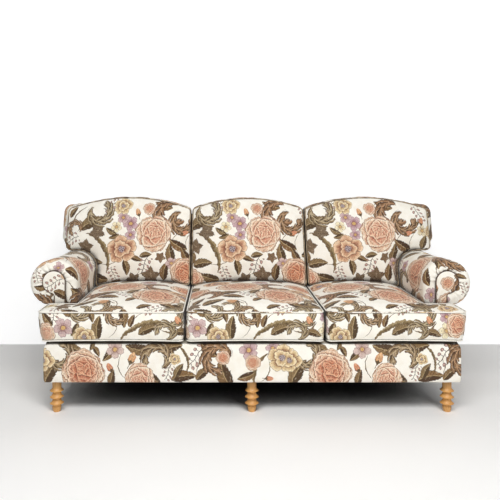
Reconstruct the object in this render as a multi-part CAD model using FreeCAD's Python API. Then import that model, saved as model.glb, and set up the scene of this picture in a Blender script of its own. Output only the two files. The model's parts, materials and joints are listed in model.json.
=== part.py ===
import FreeCAD
import Part
import math
import os

# English roll arm sofa, three seats. Millimetres, +Z up, X across the sofa, -Y is the front.
# The origin is on the floor, at the centre of the overall width and depth.

V = FreeCAD.Vector

# Overall sizes
overall_depth = 950.0
arm_span = 2100.0
roll_overhang = 106.0
cushion_overhang = 15.0
rest_gap = 0.3
fit_gap = 0.5

# Turned legs
leg_height = 146.0
leg_inset_x = 50.0
front_leg_setback = 50.0
rear_leg_setback = 62.0
ring_radius = 31.0
core_radius = 20.5
groove_radius = 18.0
foot_radius = 16.5
foot_height = 20.0
ring_pitch = 29.0
ring_rise = 17.0
ring_under = 10.0
ring_over = 12.5
ring_count = 3
leg_bolt_radius = 4.0
leg_bolt_grip = 34.0
bolt_hole_gap = 0.1
leg_block_side = 64.0
leg_block_height = 40.0

# Timber base
rail_height = 130.0
rail_thickness = 32.0
stretcher_drop = 36.0
dust_cover_thickness = 1.5
border_height = 176.0
border_thickness = 12.0
border_corner = 10.0
border_shoulder = 24.0

# Seat deck
spring_wire_radius = 1.9
spring_count = 8
spring_bends = 12
spring_half_width = 40.0
clip_length = 18.0
clip_wall = 1.5

# Roll arms, given for the right-hand arm and mirrored
arm_width = 218.0
arm_rise = 348.0
roll_radius = 105.0
inner_roll_radius = 108.0
border_return_length = 180.0
arm_padding = 26.0
arm_rim_radius = 24.0
arm_side_skin = 6.0
arm_end_cap = 12.0
outside_arm_thickness = 5.0
arm_board_thickness = 18.0
arm_rail_width = 44.0
arm_rail_height = 32.0

# Keyhole facing on the arm front
facing_radius = 54.0
facing_thickness = 7.0
facing_stem_width = 51.0
facing_neck_fillet = 14.0
facing_welt_radius = 3.0

# Back frame, raked
back_foot_y = 360.0
back_rise = 518.0
back_thickness = 90.0
back_skin = 8.0
back_padding_wall = 26.0
back_end_inset = 90.0
back_corner_radius = 48.0
post_width = 46.0
post_inset = 82.0
post_count = 4
back_rail_height = 60.0
lower_rail_lift = 60.0
webbing_width = 50.0
webbing_thickness = 1.5
webbing_strips = 8

# Seat cushions
middle_share = 0.38
seat_ear_inset = 92.0
boxing_height = 128.0
seat_lift = 14.0
seat_crown = 40.0
seat_rear_crown = 14.0
seat_rear_slope = 40.0
seat_belly_ramp = 90.0
seat_front_bulge = 5.5
edge_crown_share = 0.03
ear_crown = 8.0
ear_root = 30.0
core_inset = 24.0
core_top_inset = 8.0
welt_radius = 2.8
welt_bend = 3.0
welt_rise = 1.5
welt_gap = 0.1
zip_length = 380.0
zip_height = 9.0
zip_thickness = 2.0

# Back cushions
back_cushion_rise = 621.0
back_shoulder_rise = 556.0
back_cushion_foot_depth = 232.0
back_cushion_head_depth = 150.0
back_cushion_belly = 34.0
back_cushion_gap = 2.0
back_cushion_draw = 26.0
back_ear_inset = 30.0
back_arm_clearance = 2.0
top_puff = 14.0
fill_inset = 40.0
fill_thickness = 90.0

# Places worked out from the sizes above
back_y = overall_depth / 2
front_y = cushion_overhang - overall_depth / 2
arm_outer_x = arm_span / 2
arm_inner_x = arm_outer_x - arm_width
half_rail = arm_outer_x - roll_overhang
back_half_width = arm_outer_x - back_end_inset
back_ear_half_width = arm_outer_x - back_ear_inset
ear_half_width = arm_outer_x - seat_ear_inset
seam_x = arm_inner_x * middle_share
deck_height = leg_height + border_height
arm_top = deck_height + arm_rise
frame_top = deck_height + back_rise
back_cushion_top = deck_height + back_cushion_rise
back_cushion_shoulder = deck_height + back_shoulder_rise
rail_bottom = leg_height + dust_cover_thickness
rail_top = rail_bottom + rail_height
spring_z = rail_top + spring_wire_radius + clip_wall
deck_underside = spring_z + spring_wire_radius + rest_gap
arm_front_y = front_y + border_return_length
arm_wall_x = half_rail - outside_arm_thickness - fit_gap
roll_x = arm_outer_x - roll_radius
roll_z = arm_top - roll_radius
rake = (back_y - back_foot_y) / (frame_top - leg_height)
timber_front_y = front_y + border_thickness + fit_gap
timber_back_y = back_foot_y - back_skin - fit_gap
timber_half_x = half_rail - border_thickness - fit_gap
inner_front_y = timber_front_y + rail_thickness
inner_back_y = timber_back_y - rail_thickness
inner_half_x = timber_half_x - rail_thickness
leg_x = half_rail - leg_inset_x
front_leg_y = front_y + front_leg_setback
rear_leg_y = back_foot_y - rear_leg_setback
post_depth = back_thickness - back_padding_wall - back_skin - 2 * fit_gap - webbing_thickness
welt_reach = welt_radius + welt_gap
welt_room = welt_reach + welt_radius + rest_gap
seat_arm_x = arm_inner_x - welt_room
seat_bottom_edge = deck_height + seat_lift
seat_welt_z = seat_bottom_edge + boxing_height
back_cushion_bottom = seat_welt_z + seat_rear_crown + 2 * rest_gap
facing_welt_y = arm_front_y - facing_thickness - facing_welt_radius - welt_gap


def back_plane_y(z, inward=0.0):
    """Y of the raked outside back at height z, moved forward by inward along Y."""
    return back_foot_y + (z - leg_height) * rake - inward


# Shapes that several pieces use


def box(x0, x1, y0, y1, z0, z1):
    return Part.makeBox(x1 - x0, y1 - y0, z1 - z0, V(x0, y0, z0))


def mirrored(shape):
    return shape.mirror(V(0, 0, 0), V(1, 0, 0))


def arc(a, middle, b):
    return Part.Arc(a, middle, b).toShape()


def line(a, b):
    return Part.LineSegment(a, b).toShape()


def extruded(edges, direction):
    return Part.Face(Part.Wire(edges)).extrude(direction)


def loop_of_lines(corners):
    return [line(a, b) for a, b in zip(corners, corners[1:] + corners[:1])]


def raked_slab(x0, x1, z0, z1, outer, inner):
    """A slab across X that leans with the back, from outer to inner millimetres ahead of its plane."""
    corners = [
        V(x0, back_plane_y(z0, inner), z0),
        V(x0, back_plane_y(z0, outer), z0),
        V(x0, back_plane_y(z1, outer), z1),
        V(x0, back_plane_y(z1, inner), z1),
    ]
    return extruded(loop_of_lines(corners), V(x1 - x0, 0, 0))


def raked_panel(half_low, half_high, low, step, high, corner, outer, inner):
    """A T-shaped panel that leans with the back: narrow up to height step, then wide with round corners."""
    y = -back_y
    turn = corner * (1 - math.sqrt(0.5))
    edges = []
    outline = [(half_low, low), (half_low, step), (half_high, step), (half_high, high - corner)]
    right = [V(x, y, z) for x, z in outline]
    left = [V(-x, y, z) for x, z in reversed(outline)]
    edges += [line(a, b) for a, b in zip(right, right[1:])]
    shoulder = V(half_high - corner, y, high)
    edges.append(arc(right[-1], V(half_high - turn, y, high - turn), shoulder))
    far = V(-half_high + corner, y, high)
    edges.append(line(shoulder, far))
    edges.append(arc(far, V(-half_high + turn, y, high - turn), left[0]))
    edges += [line(a, b) for a, b in zip(left, left[1:])]
    edges.append(line(left[-1], right[0]))
    panel = extruded(edges, V(0, 2 * overall_depth, 0))
    return panel.common(raked_slab(-half_high - 1, half_high + 1, low - 1, high + 1, outer, inner))


def tube(edges, radius):
    """A round cord along joined edges."""
    first = edges[0]
    start = first.valueAt(first.FirstParameter)
    along = first.tangentAt(first.FirstParameter)
    section = Part.Wire(Part.makeCircle(radius, start, along))
    return Part.Wire(edges).makePipeShell([section], True, False)


# Legs


def turned_leg():
    """One bobbin leg on its own axis: a tapered foot, a stack of rings and a plain neck."""
    foot = V(foot_radius, 0, 0)
    last = V(core_radius, 0, foot_height)
    edges = [line(V(0, 0, 0), foot), line(foot, last)]
    for i in range(ring_count):
        z = foot_height + ring_rise + i * ring_pitch
        groove = V(groove_radius, 0, z - ring_under)
        rim = V(ring_radius, 0, z)
        shoulder = V(core_radius, 0, z + ring_over)
        cove = V((2 * groove_radius + ring_radius) / 3, 0, z - ring_under / 2)
        slope = V((2 * core_radius + ring_radius) / 3, 0, z + ring_over / 2)
        edges.append(line(last, groove))
        edges.append(arc(groove, cove, rim))
        edges.append(arc(rim, slope, shoulder))
        last = shoulder
    top = V(core_radius, 0, leg_height)
    axis_top = V(0, 0, leg_height)
    edges += [line(last, top), line(top, axis_top), line(axis_top, V(0, 0, 0))]
    leg = Part.Face(Part.Wire(edges)).revolve(V(0, 0, 0), V(0, 0, 1), 360)
    bore_depth = leg_bolt_grip + fit_gap
    bore = Part.makeCylinder(leg_bolt_radius + bolt_hole_gap, bore_depth, V(0, 0, leg_height - bore_depth))
    return leg.cut(bore)


def leg_places():
    """Name and centre of each leg."""
    rows = (("front", front_leg_y), ("rear", rear_leg_y))
    columns = (("left", -leg_x), ("middle", 0.0), ("right", leg_x))
    return [(row + "_leg_" + column, x, y) for row, y in rows for column, x in columns]


def leg_bolts():
    low = leg_height - leg_bolt_grip
    high = rail_bottom + leg_block_height
    return Part.makeCompound(
        [Part.makeCylinder(leg_bolt_radius, high - low, V(x, y, low)) for _, x, y in leg_places()]
    )


def bolt_holes(z0, z1):
    radius = leg_bolt_radius + bolt_hole_gap
    return Part.makeCompound([Part.makeCylinder(radius, z1 - z0, V(x, y, z0)) for _, x, y in leg_places()])


def leg_blocks():
    """Hardwood blocks inside the rails that the leg bolts screw into."""
    half = leg_block_side / 2
    blocks = []
    for _, x, y in leg_places():
        y0 = max(y - half, inner_front_y)
        y1 = min(y + half, inner_back_y)
        x0 = max(x - half, -inner_half_x)
        x1 = min(x + half, inner_half_x)
        blocks.append(box(x0, x1, y0, y1, rail_bottom, rail_bottom + leg_block_height))
    return Part.makeCompound(blocks).cut(bolt_holes(rail_bottom - 1, rail_bottom + leg_block_height + 1))


# Timber base


def front_rail():
    return box(-timber_half_x, timber_half_x, timber_front_y, inner_front_y, rail_bottom, rail_top)


def rear_rail():
    return box(-timber_half_x, timber_half_x, inner_back_y, timber_back_y, rail_bottom, rail_top)


def side_rail():
    return box(inner_half_x, timber_half_x, inner_front_y, inner_back_y, rail_bottom, rail_top)


def centre_stretcher():
    """The rail that joins the front and rear rails over the middle legs, below the springs."""
    half = rail_thickness / 2
    low = rail_bottom + leg_block_height
    return box(-half, half, inner_front_y, inner_back_y, low, rail_top - stretcher_drop)


def dust_cover():
    sheet = box(-timber_half_x, timber_half_x, timber_front_y, timber_back_y, leg_height, rail_bottom)
    return sheet.cut(bolt_holes(leg_height - 1, rail_bottom + 1))


def front_border():
    """The padded cover of the front rail, with short returns as far as the arm fronts."""
    outer = box(-half_rail, half_rail, front_y, arm_front_y - fit_gap, leg_height, deck_height)
    shoulders = [e for e in outer.Edges if e.BoundBox.ZMin > deck_height - 1 and e.BoundBox.XLength < 1]
    outer = outer.makeFillet(border_shoulder, shoulders)
    face = [e for e in outer.Edges if e.BoundBox.YMax < front_y + 1 and e.BoundBox.ZMax > leg_height + 1]
    outer = outer.makeFillet(border_corner, face)
    inner_x = half_rail - border_thickness
    inner_y = front_y + border_thickness
    inner = box(-inner_x, inner_x, inner_y, arm_front_y + 1, leg_height - 1, deck_height + 1)
    return outer.cut(inner)


# Seat springs and deck


def spring_ends():
    """Y of the clips on the front and rear rails."""
    return timber_front_y + rail_thickness / 2, timber_back_y - rail_thickness / 2


def spring_centres():
    spread = 2 * (arm_inner_x - 2 * spring_half_width)
    step = spread / (spring_count - 1)
    return [i * step - spread / 2 for i in range(spring_count)]


def zigzag_spring(x):
    """A sinuous wire spring that runs from the front rail to the rear rail."""
    y0, y1 = spring_ends()
    radius = (y1 - y0) / spring_bends / 2
    run = spring_half_width - radius
    edges = [line(V(x, y0, spring_z), V(x + run, y0, spring_z))]
    for i in range(spring_bends):
        side = 1 if i % 2 == 0 else -1
        y = y0 + 2 * radius * i
        start = V(x + side * run, y, spring_z)
        middle = V(x + side * (run + radius), y + radius, spring_z)
        end = V(x + side * run, y + 2 * radius, spring_z)
        edges.append(arc(start, middle, end))
        reach = x if i == spring_bends - 1 else x - side * run
        edges.append(line(end, V(reach, y + 2 * radius, spring_z)))
    return tube(edges, spring_wire_radius)


def seat_springs():
    return Part.makeCompound([zigzag_spring(x) for x in spring_centres()])


def spring_clips():
    """Folded steel clips, nailed to the rails under the ends of the springs."""
    clips = []
    half = clip_length / 2
    wall = spring_wire_radius + clip_wall
    for x in spring_centres():
        for y in spring_ends():
            clip = box(x - half, x + half, y - wall, y + wall, rail_top, spring_z)
            bed = Part.makeCylinder(
                spring_wire_radius + bolt_hole_gap, clip_length + 2, V(x - half - 1, y, spring_z), V(1, 0, 0)
            )
            clips.append(clip.cut(bed))
    return Part.makeCompound(clips)


def seat_platform():
    """The padded deck under the cushions, wider ahead of the arms."""
    wide_x = half_rail - border_thickness - fit_gap
    narrow_x = arm_inner_x - fit_gap
    arm_y = arm_front_y - fit_gap
    rear = back_plane_y(deck_underside, back_thickness + fit_gap)
    wide = box(-wide_x, wide_x, timber_front_y, arm_y, deck_underside, deck_height)
    narrow = box(-narrow_x, narrow_x, arm_y - 1, rear, deck_underside, deck_height)
    return wide.fuse(narrow).removeSplitter()


# Arms


def arm_outline(inset, y, low, wall_skin):
    """The scroll section of the right arm at one Y, shrunk by inset, down to height low."""
    half = math.sqrt(0.5)
    turn_x = arm_inner_x + inner_roll_radius
    turn_z = arm_top - inner_roll_radius
    inner_radius = inner_roll_radius - inset
    outer_radius = roll_radius - inset
    wall = arm_wall_x - wall_skin
    drop = math.sqrt(outer_radius**2 - (roll_x - wall) ** 2)
    foot = V(arm_inner_x + inset, y, low)
    lift = V(arm_inner_x + inset, y, turn_z)
    crest = V(turn_x, y, arm_top - inset)
    ridge = V(roll_x, y, arm_top - inset)
    under = V(wall, y, roll_z - drop)
    wall_foot = V(wall, y, low)
    return [
        line(foot, lift),
        arc(lift, V(turn_x - inner_radius * half, y, turn_z + inner_radius * half), crest),
        line(crest, ridge),
        arc(ridge, V(roll_x + outer_radius, y, roll_z), under),
        line(under, wall_foot),
        line(wall_foot, foot),
    ]


def behind(inward):
    """All the space behind the raked plane that lies inward millimetres ahead of the outside back."""
    reach = arm_outer_x + 10
    return raked_slab(-reach, reach, -10, frame_top + 10, -overall_depth, inward)


def arm_cover():
    """The padded cover of one arm: inside face, roll and gathered front, over the arm boards."""
    length = V(0, back_y - arm_front_y, 0)
    outer = extruded(arm_outline(0, arm_front_y, deck_underside, 0), length)
    front_edges = [e for e in outer.Edges if e.BoundBox.YMax < arm_front_y + 0.01]
    rim = [e for e in front_edges if e.BoundBox.ZMin > deck_underside - 1 and e.BoundBox.ZMax > arm_top / 2]
    rim = [e for e in rim if abs(e.BoundBox.XMax - arm_wall_x) > 0.1]
    outer = outer.makeFillet(arm_rim_radius, rim)
    inner_y = arm_front_y + arm_padding
    hollow = extruded(arm_outline(arm_padding, inner_y, deck_underside - 1, arm_side_skin), length)
    hollow = hollow.cut(behind(back_skin + fit_gap + arm_end_cap))
    return outer.cut(hollow).cut(behind(back_skin + fit_gap))


def outside_arm():
    """The panel of cloth on card that closes the arm below the roll, flush with the front border."""
    x0 = half_rail - outside_arm_thickness
    high = roll_z - roll_radius - fit_gap
    panel = box(x0, half_rail, arm_front_y, back_y, leg_height, high)
    return panel.cut(behind(back_skin + fit_gap))


def arm_board(y):
    """A shaped board that carries the padding of the arm, standing on the side rail."""
    end = y + arm_board_thickness
    outline = arm_outline(arm_padding + fit_gap, y, rail_top, arm_side_skin + fit_gap)
    board = extruded(outline, V(0, arm_board_thickness, 0))
    beside = box(0, arm_outer_x, y - 1, end + 1, rail_top - 1, deck_height)
    foot = box(inner_half_x, timber_half_x, y - 2, end + 2, rail_top, deck_height)
    return board.cut(beside.cut(foot))


def arm_board_places():
    front = arm_front_y + arm_padding + fit_gap
    rear = back_plane_y(rail_top, back_skin + arm_end_cap + 2 * fit_gap) - arm_board_thickness
    return front, rear


def arm_top_rail():
    """The rail inside the roll that joins the front and rear arm boards."""
    front, rear = arm_board_places()
    half_x = arm_rail_width / 2
    half_z = arm_rail_height / 2
    y0 = front + arm_board_thickness
    return box(roll_x - half_x, roll_x + half_x, y0, rear, roll_z - half_z, roll_z + half_z)


def facing_edges(y, low):
    """The keyhole outline of the arm facing: a straight stem and a round head, open at the foot."""
    half = facing_radius * math.sqrt(0.5)
    inner = roll_x - facing_radius
    outer = inner + facing_stem_width
    fillet_x = outer + facing_neck_fillet
    reach = facing_radius + facing_neck_fillet
    drop = math.sqrt(reach**2 - (fillet_x - roll_x) ** 2)
    share = facing_radius / reach
    meet = V(roll_x + (fillet_x - roll_x) * share, y, roll_z - drop * share)
    neck = V(outer, y, roll_z - drop)
    side = V(inner, y, roll_z)
    top = V(roll_x, y, roll_z + facing_radius)
    far = V(roll_x + facing_radius, y, roll_z)
    centre = V(fillet_x, y, roll_z - drop)
    chord = (meet + neck) * 0.5 - centre
    bend = centre + chord * (facing_neck_fillet / chord.Length)
    return [
        line(V(inner, y, low), side),
        arc(side, V(roll_x - half, y, roll_z + half), top),
        arc(top, V(roll_x + half, y, roll_z + half), far),
        arc(far, V(roll_x + half, y, roll_z - half), meet) if meet.x < roll_x + half else line(far, meet),
        arc(meet, bend, neck),
        line(neck, V(outer, y, low)),
    ]


def arm_facing():
    y = arm_front_y - facing_thickness
    low = deck_height + rest_gap
    inner = roll_x - facing_radius
    edges = facing_edges(y, low)
    edges.append(line(V(inner + facing_stem_width, y, low), V(inner, y, low)))
    return extruded(edges, V(0, facing_thickness - rest_gap, 0))


def arm_facing_welt():
    """The corded edge of the facing, along its front face."""
    return tube(facing_edges(facing_welt_y, deck_height + rest_gap), facing_welt_radius)


# Back


def post_centres():
    post_spacing = 2 * (arm_inner_x - post_inset) / (post_count - 1)
    return [(i - (post_count - 1) / 2) * post_spacing for i in range(post_count)]


def back_timber_high():
    return frame_top - back_padding_wall - fit_gap


def back_posts():
    """The raked uprights, standing on the rear rail and notched behind the spring clips."""
    outer = back_skin + fit_gap
    high = back_timber_high() - back_rail_height
    half = post_width / 2
    posts = Part.makeCompound(
        [raked_slab(x - half, x + half, rail_top, high, outer, outer + post_depth) for x in post_centres()]
    )
    notch_y = spring_ends()[1] + spring_wire_radius + clip_wall + fit_gap
    return posts.cut(box(-half_rail, half_rail, -back_y, notch_y, rail_top - 1, deck_underside))


def back_top_rail():
    outer = back_skin + fit_gap
    high = back_timber_high()
    half = back_half_width - back_corner_radius
    return raked_slab(-half, half, high - back_rail_height, high, outer, outer + post_depth)


def back_lower_rail():
    """The rail above the deck, as lengths between the uprights."""
    low = deck_height + lower_rail_lift
    outer = back_skin + fit_gap
    half = post_width / 2
    centres = post_centres()
    return Part.makeCompound(
        [
            raked_slab(a + half, b - half, low, low + back_rail_height, outer, outer + post_depth)
            for a, b in zip(centres, centres[1:])
        ]
    )


def back_webbing():
    """Upright strips of webbing, stretched over the front of the lower and top rails of the back."""
    inner = back_skin + fit_gap + post_depth
    low = deck_height + lower_rail_lift
    spread = post_centres()[-1] - post_centres()[0] - post_width
    step = spread / webbing_strips
    half = webbing_width / 2
    strips = []
    for i in range(webbing_strips):
        x = (i + 0.5) * step - spread / 2
        strips.append(
            raked_slab(x - half, x + half, low, back_timber_high(), inner, inner + webbing_thickness)
        )
    return Part.makeCompound(strips)


def back_padding():
    """The padded cover of the back: front, top and sides, over the timber and open to the rear."""
    wall = back_padding_wall
    low = deck_underside
    step = arm_top + fit_gap
    narrow = arm_inner_x - fit_gap
    skin = back_skin + fit_gap
    shell = raked_panel(
        narrow, back_half_width, low, step, frame_top, back_corner_radius, skin, back_thickness
    )
    hollow = raked_panel(
        narrow - wall,
        back_half_width - wall,
        low - 2,
        step + wall,
        frame_top - wall,
        back_corner_radius - wall,
        0,
        back_thickness - wall,
    )
    return shell.cut(hollow)


def outside_back():
    """The cloth-covered board that closes the back of the sofa."""
    step = arm_top + fit_gap
    return raked_panel(half_rail, back_half_width, leg_height, step, frame_top, back_corner_radius, 0, back_skin)


# Seat cushions


def seat_rear_y():
    """The rear of a seat cushion's boxing, with room for its welt ahead of the back."""
    return back_plane_y(seat_bottom_edge - welt_rise - welt_radius, back_thickness) - welt_room


def ear_rear_y():
    """The rear of an outer cushion's ear, with room for its welt ahead of the arm facing."""
    return facing_welt_y - facing_welt_radius - welt_room


def seat_front_y():
    """The front of a seat cushion's boxing at its edges, behind the welt and the bulge."""
    return front_y - cushion_overhang + welt_reach + welt_radius


def seat_section(x, crown_share, belly_share):
    """One cross-section of a seat cushion: a bulged front, a crowned top that runs level under the
    back cushion, and an underside that bellies down to the deck."""
    y0 = seat_front_y()
    y1 = seat_rear_y()
    y_flat = back_plane_y(back_cushion_bottom, back_thickness + back_cushion_foot_depth)
    z0 = seat_bottom_edge
    z1 = seat_welt_z
    belly = (seat_lift - rest_gap) * belly_share
    level = z1 + seat_rear_crown * crown_share
    front_low = V(x, y0, z0)
    front_high = V(x, y0, z1)
    level_front = V(x, y_flat, level)
    level_rear = V(x, y1 - seat_rear_slope, level)
    rear_high = V(x, y1, z1)
    rear_low = V(x, y1, z0)
    belly_rear = V(x, y1 - seat_belly_ramp, z0 - belly)
    belly_front = V(x, y0 + seat_belly_ramp, z0 - belly)
    crest = V(x, (y0 + y_flat) / 2, z1 + seat_crown * crown_share)
    return Part.Wire(
        [
            arc(front_low, V(x, y0 - seat_front_bulge, (z0 + z1) / 2), front_high),
            arc(front_high, crest, level_front),
            line(level_front, level_rear),
            line(level_rear, rear_high),
            line(rear_high, rear_low),
            line(rear_low, belly_rear),
            line(belly_rear, belly_front),
            line(belly_front, front_low),
        ]
    )


def seat_cushion_blank(x0, x1):
    """A cushion without its cut for the arm: low at the sides and full in the middle."""
    edge = edge_crown_share
    shares = ((0.0, edge, edge), (0.2, 0.74, 0.9), (0.5, 1.0, 1.0), (0.8, 0.74, 0.9), (1.0, edge, edge))
    wires = [seat_section(x0 + (x1 - x0) * t, crown, belly) for t, crown, belly in shares]
    return Part.makeLoft(wires, True, False)


def seat_ear_section(x, share):
    """One cross-section of the ear that reaches out ahead of the arm."""
    y0 = seat_front_y()
    y1 = ear_rear_y()
    z0 = seat_bottom_edge
    z1 = seat_welt_z
    middle = (y0 + y1) / 2
    front_low = V(x, y0, z0)
    front_high = V(x, y0, z1)
    rear_high = V(x, y1, z1)
    rear_low = V(x, y1, z0)
    return Part.Wire(
        [
            arc(front_low, V(x, y0 - seat_front_bulge, (z0 + z1) / 2), front_high),
            arc(front_high, V(x, middle, z1 + ear_crown * share), rear_high),
            line(rear_high, rear_low),
            arc(rear_low, V(x, middle, z0 - (seat_lift - rest_gap) * share), front_low),
        ]
    )


def seat_ear(x0, x1):
    edge = edge_crown_share
    wires = [seat_ear_section(x0 + (x1 - x0) * t, share) for t, share in ((0.0, edge), (0.5, 0.8), (1.0, 1.0))]
    return Part.makeLoft(wires, True, False)


def arm_notch(grow):
    """The room that the left arm takes from a seat cushion, grown by grow."""
    return box(-arm_outer_x, grow - seat_arm_x, ear_rear_y() - grow, back_y, deck_height - 10, frame_top)


def seat_span(side):
    """Left and right ends of a cushion's boxing, as on the left-hand side."""
    if side == "middle":
        return welt_room - seam_x, seam_x - welt_room
    return welt_room - ear_half_width, -seam_x - welt_room


def seat_core_block(side, gap):
    """The foam block inside a seat cushion, shrunk by gap and cut for the arm."""
    x0, x1 = seat_span(side)
    inset = core_inset + gap
    low = seat_bottom_edge + core_top_inset + gap
    high = seat_welt_z - core_top_inset - gap
    block = box(x0 + inset, x1 - inset, seat_front_y() + inset, seat_rear_y() - inset, low, high)
    return block if side == "middle" else block.cut(arm_notch(inset))


def seat_cushion(side):
    """The cover of one seat cushion, hollow for its foam. The outer ones are cut for the arm."""
    x0, x1 = seat_span(side)
    if side == "middle":
        cover = seat_cushion_blank(x0, x1)
    else:
        ear = seat_ear(x0, ear_root - seat_arm_x)
        cover = seat_cushion_blank(-seat_arm_x, x1).fuse(ear)
    return cover.cut(seat_core_block(side, 0))


def seat_core(side):
    return seat_core_block(side, fit_gap)


def welt_loop(points, z):
    """A closed loop of straight runs at one height, with a tight bend at each corner."""
    bends = []
    for before, here, after in zip(points[-1:] + points[:-1], points, points[1:] + points[:1]):
        corner = V(*here, z)
        a = corner + (V(*before, z) - corner).normalize() * welt_bend
        b = corner + (V(*after, z) - corner).normalize() * welt_bend
        centre = a + b - corner
        bends.append((a, centre + (corner - centre).normalize() * welt_bend, b))
    edges = []
    for (a, middle, b), following in zip(bends, bends[1:] + bends[:1]):
        edges += [arc(a, middle, b), line(b, following[0])]
    return edges


def seat_welt(side):
    """The two corded seams round a seat cushion, just outside the corners of its boxing."""
    span = seat_span(side)
    x0, x1 = span[0] - welt_reach, span[1] + welt_reach
    y0, y1 = seat_front_y() - welt_reach, seat_rear_y() + welt_reach
    points = [(x0, y0), (x1, y0), (x1, y1), (x0, y1)]
    if side != "middle":
        inner = -seat_arm_x - welt_reach
        ledge = ear_rear_y() + welt_reach
        points = [(x0, y0), (x1, y0), (x1, y1), (inner, y1), (inner, ledge), (x0, ledge)]
    heights = (seat_welt_z + welt_rise, seat_bottom_edge - welt_rise)
    return Part.makeCompound([tube(welt_loop(points, z), welt_radius) for z in heights])


def seat_zip(side):
    """The zip in the rear boxing of a seat cushion."""
    y1 = seat_rear_y()
    z = (seat_bottom_edge + seat_welt_z) / 2
    centre = 0.0 if side == "middle" else -(arm_inner_x + seam_x) / 2
    half = zip_length / 2
    y0 = y1 + rest_gap
    return box(centre - half, centre + half, y0, y0 + zip_thickness, z - zip_height / 2, z + zip_height / 2)


# Back cushions


def back_span(side):
    """Left and right ends of a back cushion, as on the left-hand side."""
    edge = seam_x - back_cushion_gap / 2
    return (-edge, edge) if side == "middle" else (-back_ear_half_width, -seam_x - back_cushion_gap / 2)


def back_section(x, top, belly, draw):
    """One cross-section of a back cushion, leaning with the back frame. Its edges are drawn in."""
    low = back_cushion_bottom
    rear = back_thickness + rest_gap
    foot = rear + back_cushion_foot_depth - draw
    head = rear + back_cushion_head_depth - draw
    rear_low = V(x, back_plane_y(low, rear), low)
    rear_high = V(x, back_plane_y(top, rear), top)
    front_high = V(x, back_plane_y(top, head), top)
    front_low = V(x, back_plane_y(low, foot), low)
    middle = (front_high + front_low) * 0.5 - V(0, belly, 0)
    crest = (rear_high + front_high) * 0.5 + V(0, 0, top_puff)
    return Part.Wire(
        [
            line(front_low, rear_low),
            line(rear_low, rear_high),
            arc(rear_high, crest, front_high),
            arc(front_high, middle, front_low),
        ]
    )


def back_cushion_blank(side):
    x0, x1 = back_span(side)
    rise = back_cushion_top - top_puff - back_cushion_shoulder
    shares = ((0.0, 0.0), (0.12, 0.5), (0.3, 0.86), (0.5, 1.0), (0.7, 0.86), (0.88, 0.5), (1.0, 0.0))
    wires = []
    for t, fullness in shares:
        top = back_cushion_shoulder + rise * (1 - (2 * t - 1) ** 2)
        belly = back_cushion_belly * (0.15 + 0.85 * fullness)
        draw = back_cushion_draw * (1 - min(1.0, 2 * fullness))
        wires.append(back_section(x0 + (x1 - x0) * t, top, belly, draw))
    return Part.makeLoft(wires, True, False)


def arm_room(grow):
    """The space over the left arm's section, grown by grow, that a back cushion's ear sits on."""
    y = -back_y
    half = math.sqrt(0.5)
    reach = arm_outer_x + roll_radius
    inner = arm_inner_x - grow
    turn_x = arm_inner_x + inner_roll_radius
    turn_z = arm_top - inner_roll_radius
    radius = inner_roll_radius + grow
    outer_radius = roll_radius + grow
    top = arm_top + grow
    lift = V(inner, y, turn_z)
    crest = V(turn_x, y, top)
    ridge = V(roll_x, y, top)
    side = V(roll_x + outer_radius, y, roll_z)
    edges = [
        line(V(inner, y, deck_height), lift),
        arc(lift, V(turn_x - radius * half, y, turn_z + radius * half), crest),
        line(crest, ridge),
        arc(ridge, V(roll_x + outer_radius * half, y, roll_z + outer_radius * half), side),
        line(side, V(reach, y, roll_z)),
        line(V(reach, y, roll_z), V(reach, y, deck_height)),
        line(V(reach, y, deck_height), V(inner, y, deck_height)),
    ]
    return mirrored(extruded(edges, V(0, 2 * overall_depth, 0)))


def back_fill_block(side, gap):
    """The inner pad of a back cushion, shrunk by gap, clear of the arm."""
    x0, x1 = back_span(side)
    inset = fill_inset + gap
    left = x0 if side == "middle" else -arm_inner_x
    low = back_cushion_bottom + inset
    high = back_cushion_shoulder - inset
    outer = back_thickness + rest_gap + inset
    return raked_slab(left + inset, x1 - inset, low, high, outer, outer + fill_thickness - 2 * gap)


def back_cushion(side):
    """The cover of one back cushion. The outer ones spread over the arms as ears."""
    cushion = back_cushion_blank(side)
    if side != "middle":
        cushion = cushion.cut(arm_room(back_arm_clearance))
    return cushion.cut(back_fill_block(side, 0))


def back_fill(side):
    return back_fill_block(side, fit_gap)


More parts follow.
